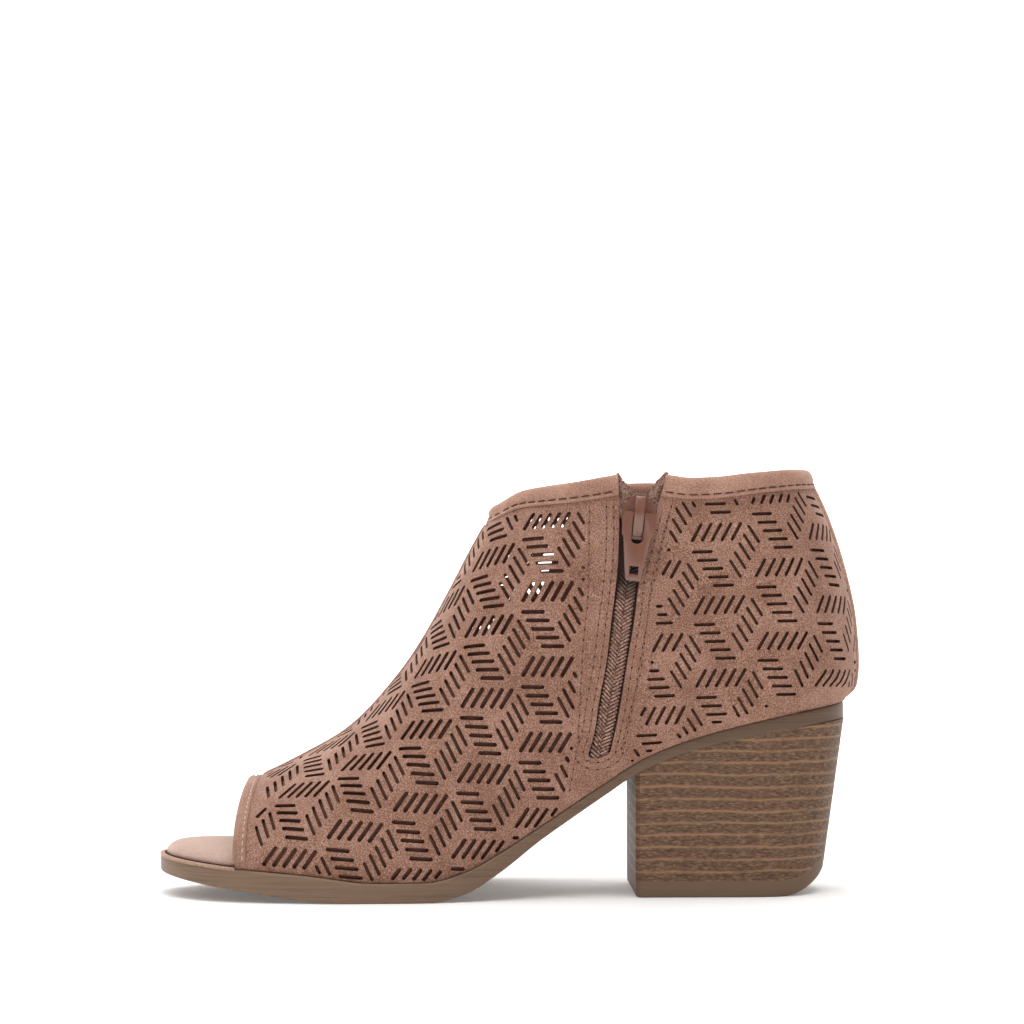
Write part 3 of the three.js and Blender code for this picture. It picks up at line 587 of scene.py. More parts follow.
# Bonded polyester sewing thread, spun: a soft sheen. The zip's is near the leather's colour,
# the collar's darker and the toe's paler.
THREAD = plain("polyester_thread_matching", "#8c6453", 0.65)
THREAD_DARK = plain("polyester_thread_dark", "#4a3027", 0.7)
THREAD_PALE = plain("polyester_thread_pale", "#d3bcae", 0.65)
UNIT_SOLE = moulded_unit()
HEEL_WRAP = stack_print()
# Cast polyurethane: satin, in the heel's ground colour.
TOP_PIECE_RUBBER = plain("polyurethane_top_piece", "#735a45", 0.65)
# Brushed polyester lining: matt and dark against the slots.
LINING = plain("polyester_lining_brushed", "#7c5747", 0.95)
# Nylon coil, dyed to match: slightly glossy loops, with painted shade just under the slider.
COIL = strands("nylon_coil_dyed", "#684637", "#c49a87", 1300, 0.45, (0.098, 0.1065))
# Knitted polyester tape, matt, painted far darker than its own colour: painted shade of the deep
# gap beside the coil. Its frayed ends and yarns are paler, in the tape's own colour.
TAPE_PAINTED_SHADE = plain("polyester_tape_woven", "#412b22", 0.85)
TAPE_END = strands("polyester_tape_frayed", "#6d4c3e", "#bd9a89", 1700, 0.85)
FRAY = plain("polyester_tape_fray", "#a98573", 0.8)
# Die-cast zinc under a stoved enamel: smooth and softly glossy.
ENAMEL = plain("zinc_enamelled", "#815646", 0.27, coat=0.5)
BACKDROP = paper_sweep()


def welded_sides():
    """Points of both sides of the upper, which share the ridge and the back seam; their quads."""
    sheets = [side_point(grids[side][0][..., 0], grids[side][0][..., 1], side).reshape(-1, 3)
              for side in (-1, 1)]
    split = grids[-1][1]
    number = {-1: np.arange((ALONG + 1) * (UP + 1)).reshape(ALONG + 1, UP + 1)}
    number[1] = number[-1] + (ALONG + 1) * (UP + 1)
    number[1][:split + 1, -1] = number[-1][:split + 1, -1]
    number[1][-1] = number[-1][-1]
    points = np.vstack(sheets)
    points[number[-1][:split + 1, -1], 1] = 0
    points[number[-1][-1], 1] = 0
    return points, number, {side: quads_of(number[side])[..., ::-side] for side in (-1, 1)}


def vertex_normals(points, faces):
    a, b, c, d = (points[faces[:, k]] for k in range(4))
    face = np.cross(c - a, d - b)
    total = np.zeros_like(points)
    for k in range(4):
        np.add.at(total, faces[:, k], face)
    return total / np.maximum(np.linalg.norm(total, axis=1, keepdims=True), 1e-9)


# The leather's thickness, within the solid upper's wall.
LEATHER = 1.6
skin, number, quads = welded_sides()
all_quads = np.vstack([quads[side].reshape(-1, 4) for side in (-1, 1)])
skin_normals = vertex_normals(skin, all_quads)


def leather_shell():
    """The upper's outer and inner faces with rims, before the slots are cut."""
    used = np.unique(all_quads)
    compact = np.full(len(skin), -1)
    compact[used] = np.arange(len(used))
    outer = skin[used]
    inner = outer - LEATHER * skin_normals[used]
    inner[:, 1] = np.where(outer[:, 1] == 0, 0, inner[:, 1])
    outside, count = compact[all_quads], len(used)
    edges = [pair for face in outside for pair in zip(face, np.roll(face, -1))]
    shared = set(edges)
    rims = [(b, a, a + count, b + count) for a, b in edges if (b, a) not in shared]
    return np.vstack([outer, inner]), [*outside, *(outside[:, ::-1] + count), *rims]


def flatten(side, columns):
    """Lay columns of one side's leather flat with the least stretch, as seen from outside."""
    n = number[side][columns]
    q = quads[side][columns.start: columns.stop - 1].reshape(-1, 4)
    ids = np.unique(n)
    local = np.full(len(skin), -1)
    local[ids] = np.arange(len(ids))
    mesh = bpy.data.meshes.new("flat")
    mesh.from_pydata([tuple(p) for p in skin[ids]], [], [tuple(local[f]) for f in q])
    mesh.uv_layers.new(name="flat")
    obj = new_object("flat", mesh)
    bpy.context.view_layer.objects.active = obj
    obj.select_set(True)
    bpy.ops.object.mode_set(mode="EDIT")
    bpy.ops.mesh.select_all(action="SELECT")
    bpy.ops.uv.unwrap(method="MINIMUM_STRETCH", margin=0.0)
    bpy.ops.object.mode_set(mode="OBJECT")
    uv = np.zeros(len(mesh.loops) * 2)
    mesh.uv_layers[0].data.foreach_get("uv", uv)
    loop_vertex = np.zeros(len(mesh.loops), int)
    mesh.loops.foreach_get("vertex_index", loop_vertex)
    flat = np.zeros((len(ids), 2))
    flat[loop_vertex] = uv.reshape(-1, 2)
    bpy.data.objects.remove(obj)
    solid = skin[ids]
    seen = np.stack([-side * solid[:, 0], solid[:, 2]], 1)
    face = local[q]
    area_flat = 0.5 * np.abs(np.cross(flat[face[:, 2]] - flat[face[:, 0]],
                                      flat[face[:, 3]] - flat[face[:, 1]])).sum()
    area = 0.5 * np.linalg.norm(np.cross(solid[face[:, 2]] - solid[face[:, 0]],
                                         solid[face[:, 3]] - solid[face[:, 1]]), axis=1).sum()
    flat = (flat - flat.mean(0)) * math.sqrt(area / area_flat)
    u, _, vt = np.linalg.svd(flat.T @ (seen - seen.mean(0)))
    flat = flat @ (u @ vt) + seen.mean(0)
    where = np.full((len(skin), 2), np.nan)
    where[ids] = flat
    return where, ids, local, q


class Panel:
    """A piece of leather laid flat: its flat places, and the way back to the lasted upper."""

    def __init__(self, side, columns):
        self.side = side
        self.flat, self.ids, local, self.faces = flatten(side, columns)
        faces = [tuple(local[f]) for f in self.faces]
        self.tree, self.view_tree = (
            BVHTree.FromPolygons([Vector((*place, 0)) for place in plane[self.ids]], faces)
            for plane in (self.flat, skin[:, [0, 2]]))

    def blend(self, tree, plane, place):
        """Corners of the quad under a place, and their weights there."""
        near, _, index, away = tree.find_nearest(Vector((*place, 0)))
        face = self.faces[index]
        near = np.array(near[:2])
        corner = plane[face]
        best = None
        for k in ((0, 1, 2), (0, 2, 3)):
            a, b, c = corner[list(k)]
            span = np.column_stack([b - a, c - a])
            if abs(np.linalg.det(span)) < 1e-9:
                continue
            s, t = np.linalg.solve(span, near - a)
            weights = np.array([1 - s - t, s, t])
            if best is None or weights.min() > best[1].min():
                best = (face[list(k)], weights)
        return best[0], best[1], away

    def lasted(self, place):
        """Place and normal on the last of a flat place, and how far it lies off the leather."""
        corner, weights, away = self.blend(self.tree, self.flat, place)
        return weights @ skin[corner], weights @ skin_normals[corner], away

    def flat_at(self, x, z):
        """Flat place of the leather seen at a place of the side view."""
        corner, weights, _ = self.blend(self.view_tree, skin[:, [0, 2]], (x, z))
        return weights @ self.flat[corner]


columns_of = {"front": slice(0, 122), "rear": slice(80, ALONG + 1), "outer": slice(0, ALONG + 1)}
panels = {name: Panel(1 if name == "outer" else -1, columns)
          for name, columns in columns_of.items()}


# The cutting die: groups of five slots on a triangular lattice, in millimetres on the flat
# leather. Each group lies a third of a turn from the last, as in a three-way basket weave.
SLOT_WIDTH = 1.1
SLOT_STEP = 3.32
GROUP = 5
SLOT_LENGTHS = (1.15, 2.4, 3.6, 4.9, 6.0, 7.1, 8.0)
# How each group sits off the lattice, its slots' slope and stacking, and the die's widths there.
GROUPS = ((0, 0, 60, 0), (-1.7, 0.0, 0, -60), (-1.3, -0.6, -60, 60))
lattices = {
    "front": dict(start=(13.1, 76.8), down=(-0.25, -25.2), across=(20.37, -14.49), length=8.0,
                  widths=(1.42, 1.34, 1.14)),
    "rear": dict(start=(67.0, 122.4), down=(0.7, -24.6), across=(21.1, -11.9), length=7.1,
                 widths=(1.12, 1.06, 1.0)),
    "outer": dict(behind=(15.3, 114.9), down=(0.2, -24.9), across=(20.9, -12.4), length=7.4,
                  widths=(1.25, 1.15, 1.0))}
# A lattice of this many steps each way covers every panel; a group further than this from the
# leather has no slot on it.
LATTICE_REACH = 9
GROUP_REACH = 12
# Rows of stitches in front of and behind the zip, between which no slots lie.
THIRD_ROW = np.array([(25.3, 140), (25.9, 131.4), (25.2, 99.5), (23.6, 86), (21.9, 52.5),
                      (18.9, 35.7), (13, 20)])
REAR_START = np.array([(54.5, 140), (52.7, 124), (50.3, 111.2), (48, 95.4), (44.6, 70.9),
                       (41.2, 54.1), (37.5, 36)])
# How far slots stay from a panel's edges: at the toe, at the vamp's ridge and at the back seam,
# and by x along the sole and along the collar.
TOE_KEEP, RIDGE_KEEP, BACK_KEEP = 6.7, 3.4, 8.8
FEATHER_KEEP = np.array([(-120, 1.0), (20, 1.0), (45, 1.6), (54, 1.9), (100, 6.3), (120, 6.5)])
COLLAR_KEEP = np.array([(-20, 6.6), (0, 7.0), (14, 8.2), (30, 8.4), (50, 7.0), (120, 6.6)])


def boundary_distance(panel):
    """A function that says whether a flat place keeps clear of the panel's seams and edges."""
    n = number[panel.side]
    split = grids[panel.side][1]
    edges = []
    for ids, keep in ((n[0], [(0, TOE_KEEP)]), (n[:split + 1, -1], [(0, RIDGE_KEEP)]),
                      (n[split:, -1], COLLAR_KEEP), (n[-1], [(0, BACK_KEEP)]),
                      (n[:, 0], FEATHER_KEEP)):
        ids = ids[~np.isnan(panel.flat[ids, 0])]
        if len(ids) > 1:
            edges.append((panel.flat[ids], np.interp(skin[ids, 0], *np.transpose(keep))))

    def clear(place):
        for line, keep in edges:
            a, d = line[:-1], np.diff(line, axis=0)
            t = np.clip(((place - a) * d).sum(1) / np.maximum((d * d).sum(1), 1e-9), 0, 1)
            away = np.linalg.norm(a + t[:, None] * d - place, axis=1) - keep[:-1]
            if away.min() < 0:
                return False
        return True
    return clear


def slots_of(name):
    """Slots of one panel: places, leather normals, directions and lengths on the last."""
    panel, die = panels[name], lattices[name]
    clear = boundary_distance(panel)
    down, across = (np.array(die[k], float) for k in ("down", "across"))
    # The outer side's level slots lie behind the inner side's, so light shows through both.
    start = (np.array(die["start"], float) if "start" in die
             else panel.flat_at(*die["behind"]) - down / 2 - np.array(GROUPS[1][:2]))
    known = panel.flat[panel.ids]
    found = []
    turn = math.atan2(down[0], -down[1])
    steps = range(-LATTICE_REACH, LATTICE_REACH + 1)
    for i in steps:
        for j in steps:
            for kind, (dx, dy, slope, stack) in enumerate(GROUPS):
                shift = (0 * down, down / 2, across / 2)[kind] + np.array([dx, dy])
                centre = start + i * down + j * across + shift
                if np.linalg.norm(known - centre, axis=1).min() > GROUP_REACH:
                    continue
                way, step = (np.array([math.cos(math.radians(a) + turn),
                                       math.sin(math.radians(a) + turn)]) for a in (slope, stack))
                for k in range(GROUP):
                    middle = centre + (k - (GROUP - 1) / 2) * SLOT_STEP * step
                    slot = fitted_slot(panel, name, clear, middle, way, die["length"])
                    if slot:
                        found.append((*slot, die["widths"][kind] / SLOT_WIDTH))
    return found


def row_x(row, z):
    return np.interp(z, row[::-1, 1], row[::-1, 0])


def fitted_slot(panel, name, clear, middle, way, length):
    """The longest part of a slot that fits on its panel, or nothing."""
    reach = (length - SLOT_WIDTH) / 2
    steps = np.linspace(-reach, reach, 9)
    good = []
    for s in steps:
        place, _, away = panel.lasted(middle + s * way)
        ok = away < 0.02 and clear(middle + s * way)
        if ok and name == "front":
            ok = place[0] < row_x(THIRD_ROW, place[2]) - 1.6
        if ok and name == "rear":
            ok = place[0] > row_x(REAR_START, place[2]) + 0.3
        good.append(ok)
    runs, run = [], []
    for s, ok in zip(steps, good):
        if ok:
            run.append(s)
        elif run:
            runs.append(run)
            run = []
    runs.append(run)
    best = max(runs, key=len)
    if not best:
        return None
    if name == "front" and middle[0] < -70 and len(best) < 3:
        return None
    at = middle + (best[0] + best[-1]) / 2 * way
    place, normal, _ = panel.lasted(at)
    one, two = (panel.lasted(at + s * 0.5 * way)[0] for s in (-1, 1))
    return place, unit(normal), unit(two - one), best[-1] - best[0] + SLOT_WIDTH


def point_cloud(name, places, **attributes):
    """Points in metres with named attributes, for a node tree to place copies on."""
    mesh = new_mesh(name, places)
    for key, values in attributes.items():
        values = np.asarray(values)
        kind = {"f": "FLOAT", "i": "INT"}[values.dtype.kind] if values.ndim == 1 else "FLOAT_VECTOR"
        layer = mesh.attributes.new(key, kind, "POINT")
        layer.data.foreach_set("vector" if values.ndim > 1 else "value",
                               values.astype(np.int32 if kind == "INT" else np.float32).ravel())
    return mesh


def new_tree(name, *inputs):
    """A geometry tree with a geometry in and out and named inputs, and its inputs' sockets."""
    tree = bpy.data.node_groups.new(name, "GeometryNodeTree")
    tree.interface.new_socket("Geometry", in_out="INPUT", socket_type="NodeSocketGeometry")
    for label, kind in inputs:
        tree.interface.new_socket(label, in_out="INPUT", socket_type="NodeSocket" + kind)
    tree.interface.new_socket("Geometry", in_out="OUTPUT", socket_type="NodeSocketGeometry")
    return tree, add(tree, "NodeGroupInput").outputs


def run_tree(tree, name, mesh, **values):
    """The plain mesh that a node tree makes from a mesh, with its inputs set."""
    base = new_object(name + "_base", mesh)
    modifier = base.modifiers.new("made", "NODES")
    modifier.node_group = tree
    for item in tree.interface.items_tree:
        key = item.name.replace(" ", "_").lower()
        if item.in_out == "INPUT" and key in values:
            modifier[item.identifier] = values[key]
    made = evaluated_mesh(base)
    made.name = name
    bpy.data.objects.remove(base)
    return made


def turned_by_attributes(tree):
    """Z along the points' normals and X along their directions."""
    normal, along = (add(tree, "GeometryNodeInputNamedAttribute", {"Name": name},
                         data_type="FLOAT_VECTOR") for name in ("normal", "along"))
    return add(tree, "FunctionNodeAxesToRotation",
               {"Primary Axis": normal, "Secondary Axis": along},
               primary_axis="Z", secondary_axis="X")


# How far a blade reaches below the leather's face, in millimetres.
BLADE_SUNK = 3.4


def slot_tree():
    """Cut round-ended slots and the zip's gap through a leather shell."""
    tree, given = new_tree("cut_slots", ("Slot Width", "Float"), ("Depth", "Float"),
                           ("Zip Cutter", "Object"), ("Points", "Object"), ("Edge", "Material"))
    blades = []
    for length in reversed(SLOT_LENGTHS):
        outline = add(tree, "GeometryNodeCurvePrimitiveQuadrilateral",
                      {"Width": length * MM, "Height": given["Slot Width"]})
        half = add(tree, "ShaderNodeMath", {0: given["Slot Width"], 1: 0.4999},
                   operation="MULTIPLY")
        round_off = add(tree, "GeometryNodeFilletCurve",
                        {"Curve": outline, "Count": 2, "Radius": half}, mode="POLY")
        face = add(tree, "GeometryNodeFillCurve", {"Curve": round_off}, mode="NGONS")
        up = add(tree, "ShaderNodeCombineXYZ", {"Z": given["Depth"]})
        rise = add(tree, "GeometryNodeExtrudeMesh",
                   {"Mesh": face, "Offset": up, "Individual": False})
        base = add(tree, "GeometryNodeFlipFaces", {"Mesh": face})
        both = add(tree, "GeometryNodeJoinGeometry", {0: [rise, base]})
        solid = add(tree, "GeometryNodeMergeByDistance", {"Geometry": both, "Distance": 1e-6})
        sunk = add(tree, "GeometryNodeTransform",
                   {"Geometry": solid, "Translation": (0, 0, -BLADE_SUNK * MM)})
        blades.append(add(tree, "GeometryNodeGeometryToInstance", {0: sunk}))
    points = add(tree, "GeometryNodeObjectInfo", {"Object": given["Points"]})
    width, size = (add(tree, "GeometryNodeInputNamedAttribute", {"Name": name}, data_type=kind)
                   for name, kind in (("wide", "FLOAT"), ("size", "INT")))
    breadth = add(tree, "ShaderNodeCombineXYZ", {"X": 1.0, "Y": width, "Z": 1.0})
    placed = add(tree, "GeometryNodeInstanceOnPoints",
                 {"Points": points.outputs["Geometry"], "Pick Instance": True,
                  "Instance": add(tree, "GeometryNodeJoinGeometry", {0: blades}),
                  "Instance Index": size, "Rotation": turned_by_attributes(tree),
                  "Scale": breadth})
    cutters = add(tree, "GeometryNodeRealizeInstances", {"Geometry": placed})
    gap = add(tree, "GeometryNodeObjectInfo", {"Object": given["Zip Cutter"]})
    together = add(tree, "GeometryNodeJoinGeometry", {0: [cutters, gap.outputs["Geometry"]]})
    painted = add(tree, "GeometryNodeSetMaterial",
                  {"Geometry": together, "Material": given["Edge"]})
    cut = add(tree, "GeometryNodeMeshBoolean", {"Mesh 1": given["Geometry"], "Mesh 2": painted},
              operation="DIFFERENCE", solver="MANIFOLD")
    real = add(tree, "GeometryNodeRealizeInstances", {"Geometry": cut})
    smooth_all = add(tree, "GeometryNodeSetShadeSmooth", {"Geometry": real})
    add(tree, "NodeGroupOutput", {0: smooth_all})
    return tree


def prism(outline, low, high):
    """A closed solid between two levels of y over an outline of [x, z] places."""
    count = len(outline)
    points = [(x, y, z) for y in (low, high) for x, z in outline]
    faces = [tuple(range(count)), tuple(range(2 * count - 1, count - 1, -1))]
    faces += [(k, k + count, (k + 1) % count + count, (k + 1) % count) for k in range(count)]
    return points, faces


# The gap's two leather edges in the side view, from its foot to above the collar.
GAP_FRONT = np.array([(25.3, 48.5), (27.4, 55.8), (28.9, 65.9), (31.4, 79.3), (33.0, 92.7),
                      (34.3, 102.8), (35.3, 112.9), (35.7, 124), (35.7, 133), (35.5, 141.1),
                      (35.4, 150)])
GAP_REAR = np.array([(32.9, 50.0), (35.0, 59.2), (36.3, 65.9), (38.4, 79.3), (40.7, 92.7),
                     (42.4, 106.2), (44.0, 112.9), (45.7, 119.6), (48.3, 129.7), (50.0, 136.4),
                     (51.4, 141.8), (52.8, 150)])


def gap_edge(rows, z):
    return np.interp(z, rows[:, 1], rows[:, 0])


def round_foot(low, high, depth, start):
    """Places on the half ellipse that joins two rows' lowest places."""
    middle, half = (low + high) / 2, (high - low) / 2
    return [middle - half * math.cos(a) + np.array([0, -depth * math.sin(a)])
            for a in np.linspace(start, math.pi - start, 9)]


def zip_gap():
    """Outline of the gap for the zip in the side view, round at its foot."""
    front, rear = flowing(GAP_FRONT, 50), flowing(GAP_REAR, 50)
    return [tuple(p) for p in (*round_foot(front[0], rear[0], 2.0, 0.25), *rear, *front[::-1])]


slots = sum((slots_of(name) for name in panels), [])
places, normals, ways, lengths, widths = (np.array(values, float) for values in zip(*slots))
slot_object = new_object("slot_places", point_cloud(
    "slot_places", places, normal=normals, along=ways, wide=widths,
    size=np.abs(lengths[:, None] - SLOT_LENGTHS).argmin(1)))
gap_object = mesh_piece("zip_gap", *prism(zip_gap(), -60, -8))
shell = new_mesh("shell", *leather_shell())
shell.materials.append(UPPER)
upper_leather = new_object("upper_leather", run_tree(
    slot_tree(), "upper_leather", shell, slot_width=SLOT_WIDTH * MM, depth=5.2 * MM,
    zip_cutter=gap_object, points=slot_object, edge=CUT_EDGE))
for helper in (slot_object, gap_object):
    bpy.data.objects.remove(helper)
smooth_shade(upper_leather, 50)
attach(upper_leather, "boot")
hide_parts("upper")


def closed_piece(name, points, faces, material, slot_name, node=None, sharp=40):
    """A closed piece of the boot: doubles merged, faces outward; it may replace a node."""
    mesh = new_mesh(name, points, faces)
    bm = bmesh.new()
    bm.from_mesh(mesh)
    bmesh.ops.remove_doubles(bm, verts=bm.verts, dist=2e-6)
    bmesh.ops.dissolve_degenerate(bm, edges=bm.edges, dist=1e-7)
    bmesh.ops.recalc_face_normals(bm, faces=bm.faces)
    bm.to_mesh(mesh)
    bm.free()
    mesh.materials.append(material)
    obj = new_object(name, mesh)
    smooth_shade(obj, sharp)
    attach(obj, "boot")
    if node:
        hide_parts(node)
    return obj


def swept(rings, closed=False):
    """Points and faces of a closed section carried along a path, with its ends capped."""
    rings = np.asarray(rings)
    count, size = rings.shape[:2]
    n = np.arange(count * size).reshape(count, size)
    following = np.roll(n, -1, axis=0) if closed else n[1:]
    start = n if closed else n[:-1]
    q = np.stack([start, np.roll(start, -1, axis=1), np.roll(following, -1, axis=1), following], -1)
    faces = [tuple(f) for f in q.reshape(-1, 4)]
    if not closed:
        faces += [tuple(n[0]), tuple(n[-1][::-1])]
    return rings.reshape(-1, 3), faces


def stacked(name, rings, material, slot_name, node, crown=None, across=10):
    """A closed solid over stacked outlines, each a pair of side lines; its top may be crowned."""
    t = np.linspace(0, 1, across + 1)[1:-1, None]
    loops = [np.vstack([a, a[-1] + (b[-1] - a[-1]) * t, b[::-1], b[0] + (a[0] - b[0]) * t])
             for a, b in rings]
    points, size = list(np.vstack(loops)), len(loops[0])
    faces = [(r * size + k, r * size + (k + 1) % size, (r + 1) * size + (k + 1) % size,
              (r + 1) * size + k) for r in range(len(rings) - 1) for k in range(size)]
    t = np.linspace(0, 1, across + 1)[None, :, None]
    for (a, b), swell in ((rings[0], None), (rings[-1], crown)):
        grid = a[:, None] * (1 - t) + b[:, None] * t
        if swell:
            grid[..., 2] += swell(t[..., 0])
        n = np.arange(grid.shape[0] * grid.shape[1]).reshape(grid.shape[:2]) + len(points)
        points += list(grid.reshape(-1, 3))
        faces += list(quads_of(n).reshape(-1, 4))
    return closed_piece(name, points, faces, material, slot_name, node)


def sole_ring(grow, height, count=120, tuck=0.0):
    """The sole's outline at a growth, as two side lines at a height that follows x.

    A tuck draws the outline in behind the toe, where the upper's leather stands."""
    s = (1 - np.cos(np.linspace(0, np.pi, count + 1))) / 2
    s = 0.6 * s + 0.4 * np.linspace(0, 1, count + 1)
    x = (X_TOE - grow) + (X_SOLE_BACK - X_TOE + 2 * grow - tuck) * (1 - np.cos(np.pi * s)) / 2
    half = outline_half(x, grow - tuck * smooth((x - X_TOE - 24) / 7))
    centre = plan_centre(x) * half / np.maximum(plan_half(x), 1e-6)
    return [np.stack([x, side * (half + side * centre), height(x)], 1) for side in (-1, 1)]


# Outsole: a moulded unit with soft edges, up from its bottom and then to its top.
stacked("outsole_unit", [
    sole_ring(grow, (lambda x, face=face, rise=rise: face(x) + rise))
    for grow, rise, face in (
        (-2.4, 0, sole_bottom), (-0.7, 0.02, sole_bottom), (-0.25, 0.12, sole_bottom),
        (-0.05, 0.4, sole_bottom), (0, 1.0, sole_bottom), (0, -1.2, sole_top),
        (-0.12, -0.5, sole_top), (-0.45, -0.1, sole_top), (-1.1, 0, sole_top))],
    UNIT_SOLE, "outsole", "outsole", across=8)


# Heel: a block in stack print on a rubber top piece, both lofted from the same form.
HEEL_BASE_WIDTH = 52
HEEL_BASE_SETBACK = 13.4
HEEL_BEVEL_LENGTH = 15
HEEL_BEVEL_HEIGHT = 6.9
TOP_PIECE = 5.7
X_BREAST = 41.5
HEEL_TOP = sole_bottom(X_SOLE_BACK)


def heel_foot(x):
    start = LENGTH / 2 - HEEL_BASE_SETBACK - HEEL_BEVEL_LENGTH
    return HEEL_BEVEL_HEIGHT * np.maximum(0, (x - start) / HEEL_BEVEL_LENGTH) ** 2


def heel_ring(height, inset=0.0, count=44, corner=1.4):
    """The heel's outline at a height that follows x, drawn in by an inset."""
    s = np.linspace(0, 1, count + 1)
    s = 0.5 * np.sin(np.pi / 2 * s) + 0.5 * (1 - np.cos(np.pi * s)) / 2
    x = X_BREAST + inset + s * (X_SOLE_BACK - X_BREAST - 2 * inset)
    for _ in range(6):
        back = (LENGTH / 2 - HEEL_BASE_SETBACK
                + (X_SOLE_BACK - LENGTH / 2 + HEEL_BASE_SETBACK) * height(x) / HEEL_TOP)
        x = X_BREAST + inset + s * (back[-1] - X_BREAST - 2 * inset)
    sides = []
    for side in (-1, 1):
        z = height(x)
        top = plan_half(x) + side * plan_centre(x) - GAP
        half = (HEEL_BASE_WIDTH / 2 * (1 - z / SEAT) + top * z / SEAT) - inset
        half = half * rounding((x[-1] - x) / HEEL_ROUND, 2.3)
        half = half - corner * (1 - rounding((x - x[0]) / corner))
        sides.append(np.stack([x, side * half, z], 1))
    return sides


def between(low, high, share):
    return lambda x: low(x) * (1 - share) + high(x) * share


def block_low(x):
    return heel_foot(x) + TOP_PIECE - 0.15


def block_high(x):
    return sole_bottom(x) + 0.3


def piece_high(x):
    return heel_foot(x) + TOP_PIECE


stacked("heel_wrapped_block", [
    heel_ring(between(block_low, block_high, t)) for t in np.linspace(0, 1, 23)],
    HEEL_WRAP, "heel", "heel_block")
stacked("heel_rubber_top_piece", [
    heel_ring(between(heel_foot, piece_high, t), inset)
    for t, inset in ((0, 0.9), (0.04, 0.4), (0.16, 0.05), (0.5, 0), (0.9, 0), (1, 0.02))],
    TOP_PIECE_RUBBER, "heel", "heel_top_piece")

# Insole: a padded sock that swells over its seam at the toe, and a little in its middle.
INSOLE_INSET = -(RIM + WALL + 2 * GAP)
PAD_SWELL = 0.5
insole_pad = stacked("insole_padded_sock", [
    sole_ring(INSOLE_INSET + grow, (lambda x, rise=rise: sole_top(x) + GAP + rise), 90, 2.4)
    for grow, rise in ((-3.0, 0), (1.2, 0.0), (1.85, 0.3), (2.05, 0.8), (1.85, 1.6), (1.1, 2.6),
                       (-0.2, 3.6), (-1.9, 4.4), (-4.2, 5.0), (-6.8, 5.4), (-9.5, 5.6))],
    INSOLE, "insole", "insole", crown=lambda t: PAD_SWELL * (1 - (2 * t - 1) ** 2), across=14)

# The sole's edge at the toe is wrapped in the sock's suede as far as the toe binding.
RIM_END = -92.4


def rim_line(grow, s, side):
    """One side of the sole's edge at the toe, grown outwards, from the toe's tip to RIM_END."""
    x = (X_TOE - grow) * (1 - s) + RIM_END * s
    half = outline_half(x, grow)
    return x, side * half + plan_centre(x) * half / plan_half(x)


RIM_SECTION = ((-3.4, -0.1), (-3.4, 0.2), (-2.9, 0.3), (-1.6, 0.38), (-0.6, 0.4), (-0.05, 0.32),
               (0.18, 0.05), (0.12, -0.5), (-0.2, -0.8), (-0.6, -0.6), (-1.2, -0.1))
s = np.linspace(0, 1, 61) ** 2
sides = []
for side in (-1, 1):
    rings = []
    for grow, rise in RIM_SECTION:
        x, y = rim_line(grow, s, side)
        rings.append(np.stack([x, y, sole_top(x) + rise], 1))
    sides.append(np.stack(rings, 1))
closed_piece("toe_rim_wrap", *swept(np.vstack([sides[0][::-1], sides[1][1:]])), RIM_SUEDE, "insole")


def edge_path(parts, step):
    """Even stations along rows of the skin: place, outward normal, and the way off its edge."""
    at, out, off = [], [], []
    for ids, inward in parts:
        at.append(skin[ids])
        out.append(skin_normals[ids])
        off.append(skin[ids] - skin[inward])
    at, out, off = (np.vstack(v) for v in (at, out, off))
    keep = np.concatenate([[True], np.linalg.norm(np.diff(at, axis=0), axis=1) > 1e-6])
    run = run_of(at[keep])
    place = np.linspace(0, run[-1], int(round(run[-1] / step)) + 1)
    at, out, off = (at_run(v[keep], run, place) for v in (at, out, off))
    out = unit(out)
    return place, at, out, unit(off - (off * out).sum(1, keepdims=True) * out)


split = grids[-1][1]
collar_x = skin[number[-1][:, -1], 0]
rear_start = int(np.argmax(collar_x > gap_edge(GAP_REAR, 139) + 0.4))
front_end = int(np.argmax(collar_x > gap_edge(GAP_FRONT, 141) + 0.4))
collar_run, collar_at, collar_out, collar_up = edge_path([
    (number[-1][rear_start:, -1], number[-1][rear_start:, -2]),
    (number[1][split:, -1][::-1], number[1][split:, -2][::-1]),
    (number[-1][split:front_end, -1], number[-1][split:front_end, -2])], 0.8)


def eased(values, reach):
    """Values along a path averaged with their neighbours, its ends kept."""
    weights = np.hanning(2 * reach + 3)[1:-1]
    wide = np.pad(values, ((reach, reach), (0, 0)), mode="edge")
    for k in range(reach):
        wide[k] = 2 * values[0] - values[reach - k]
        wide[-1 - k] = 2 * values[-1] - values[-1 - (reach - k)]
    weights /= weights.sum()
    return np.stack([np.convolve(wide[:, c], weights, "valid") for c in range(3)], 1)


skin_tree = BVHTree.FromPolygons([Vector(v) for v in skin], [tuple(f) for f in all_quads])


def squared(at, out, off, reach):
    """Outward and off-the-edge directions along an edge, square to it and to one another."""
    ahead = unit(eased(np.gradient(at, axis=0), reach))
    out = unit(eased(out, reach))
    out = unit(out - (out * ahead).sum(1, keepdims=True) * ahead)
    across = np.cross(out, ahead)
    return out, across * np.sign((across * off).sum(1, keepdims=True))


def thin_at_ridge(y):
    """A band's thickness near the upper's ridge, as a share of its thickness at the sides."""
    return 0.25 + 0.75 * smooth((np.abs(y) - 2) / 9)


def thinned(at, band, low):
    """The band's section, its lower lip flat where the edge crosses the upper's ridge."""
    ring = band.copy()
    lip = (ring[:, 1] < low) & (ring[:, 0] > 0)
    ring[lip, 0] *= thin_at_ridge(at[1])
    return ring


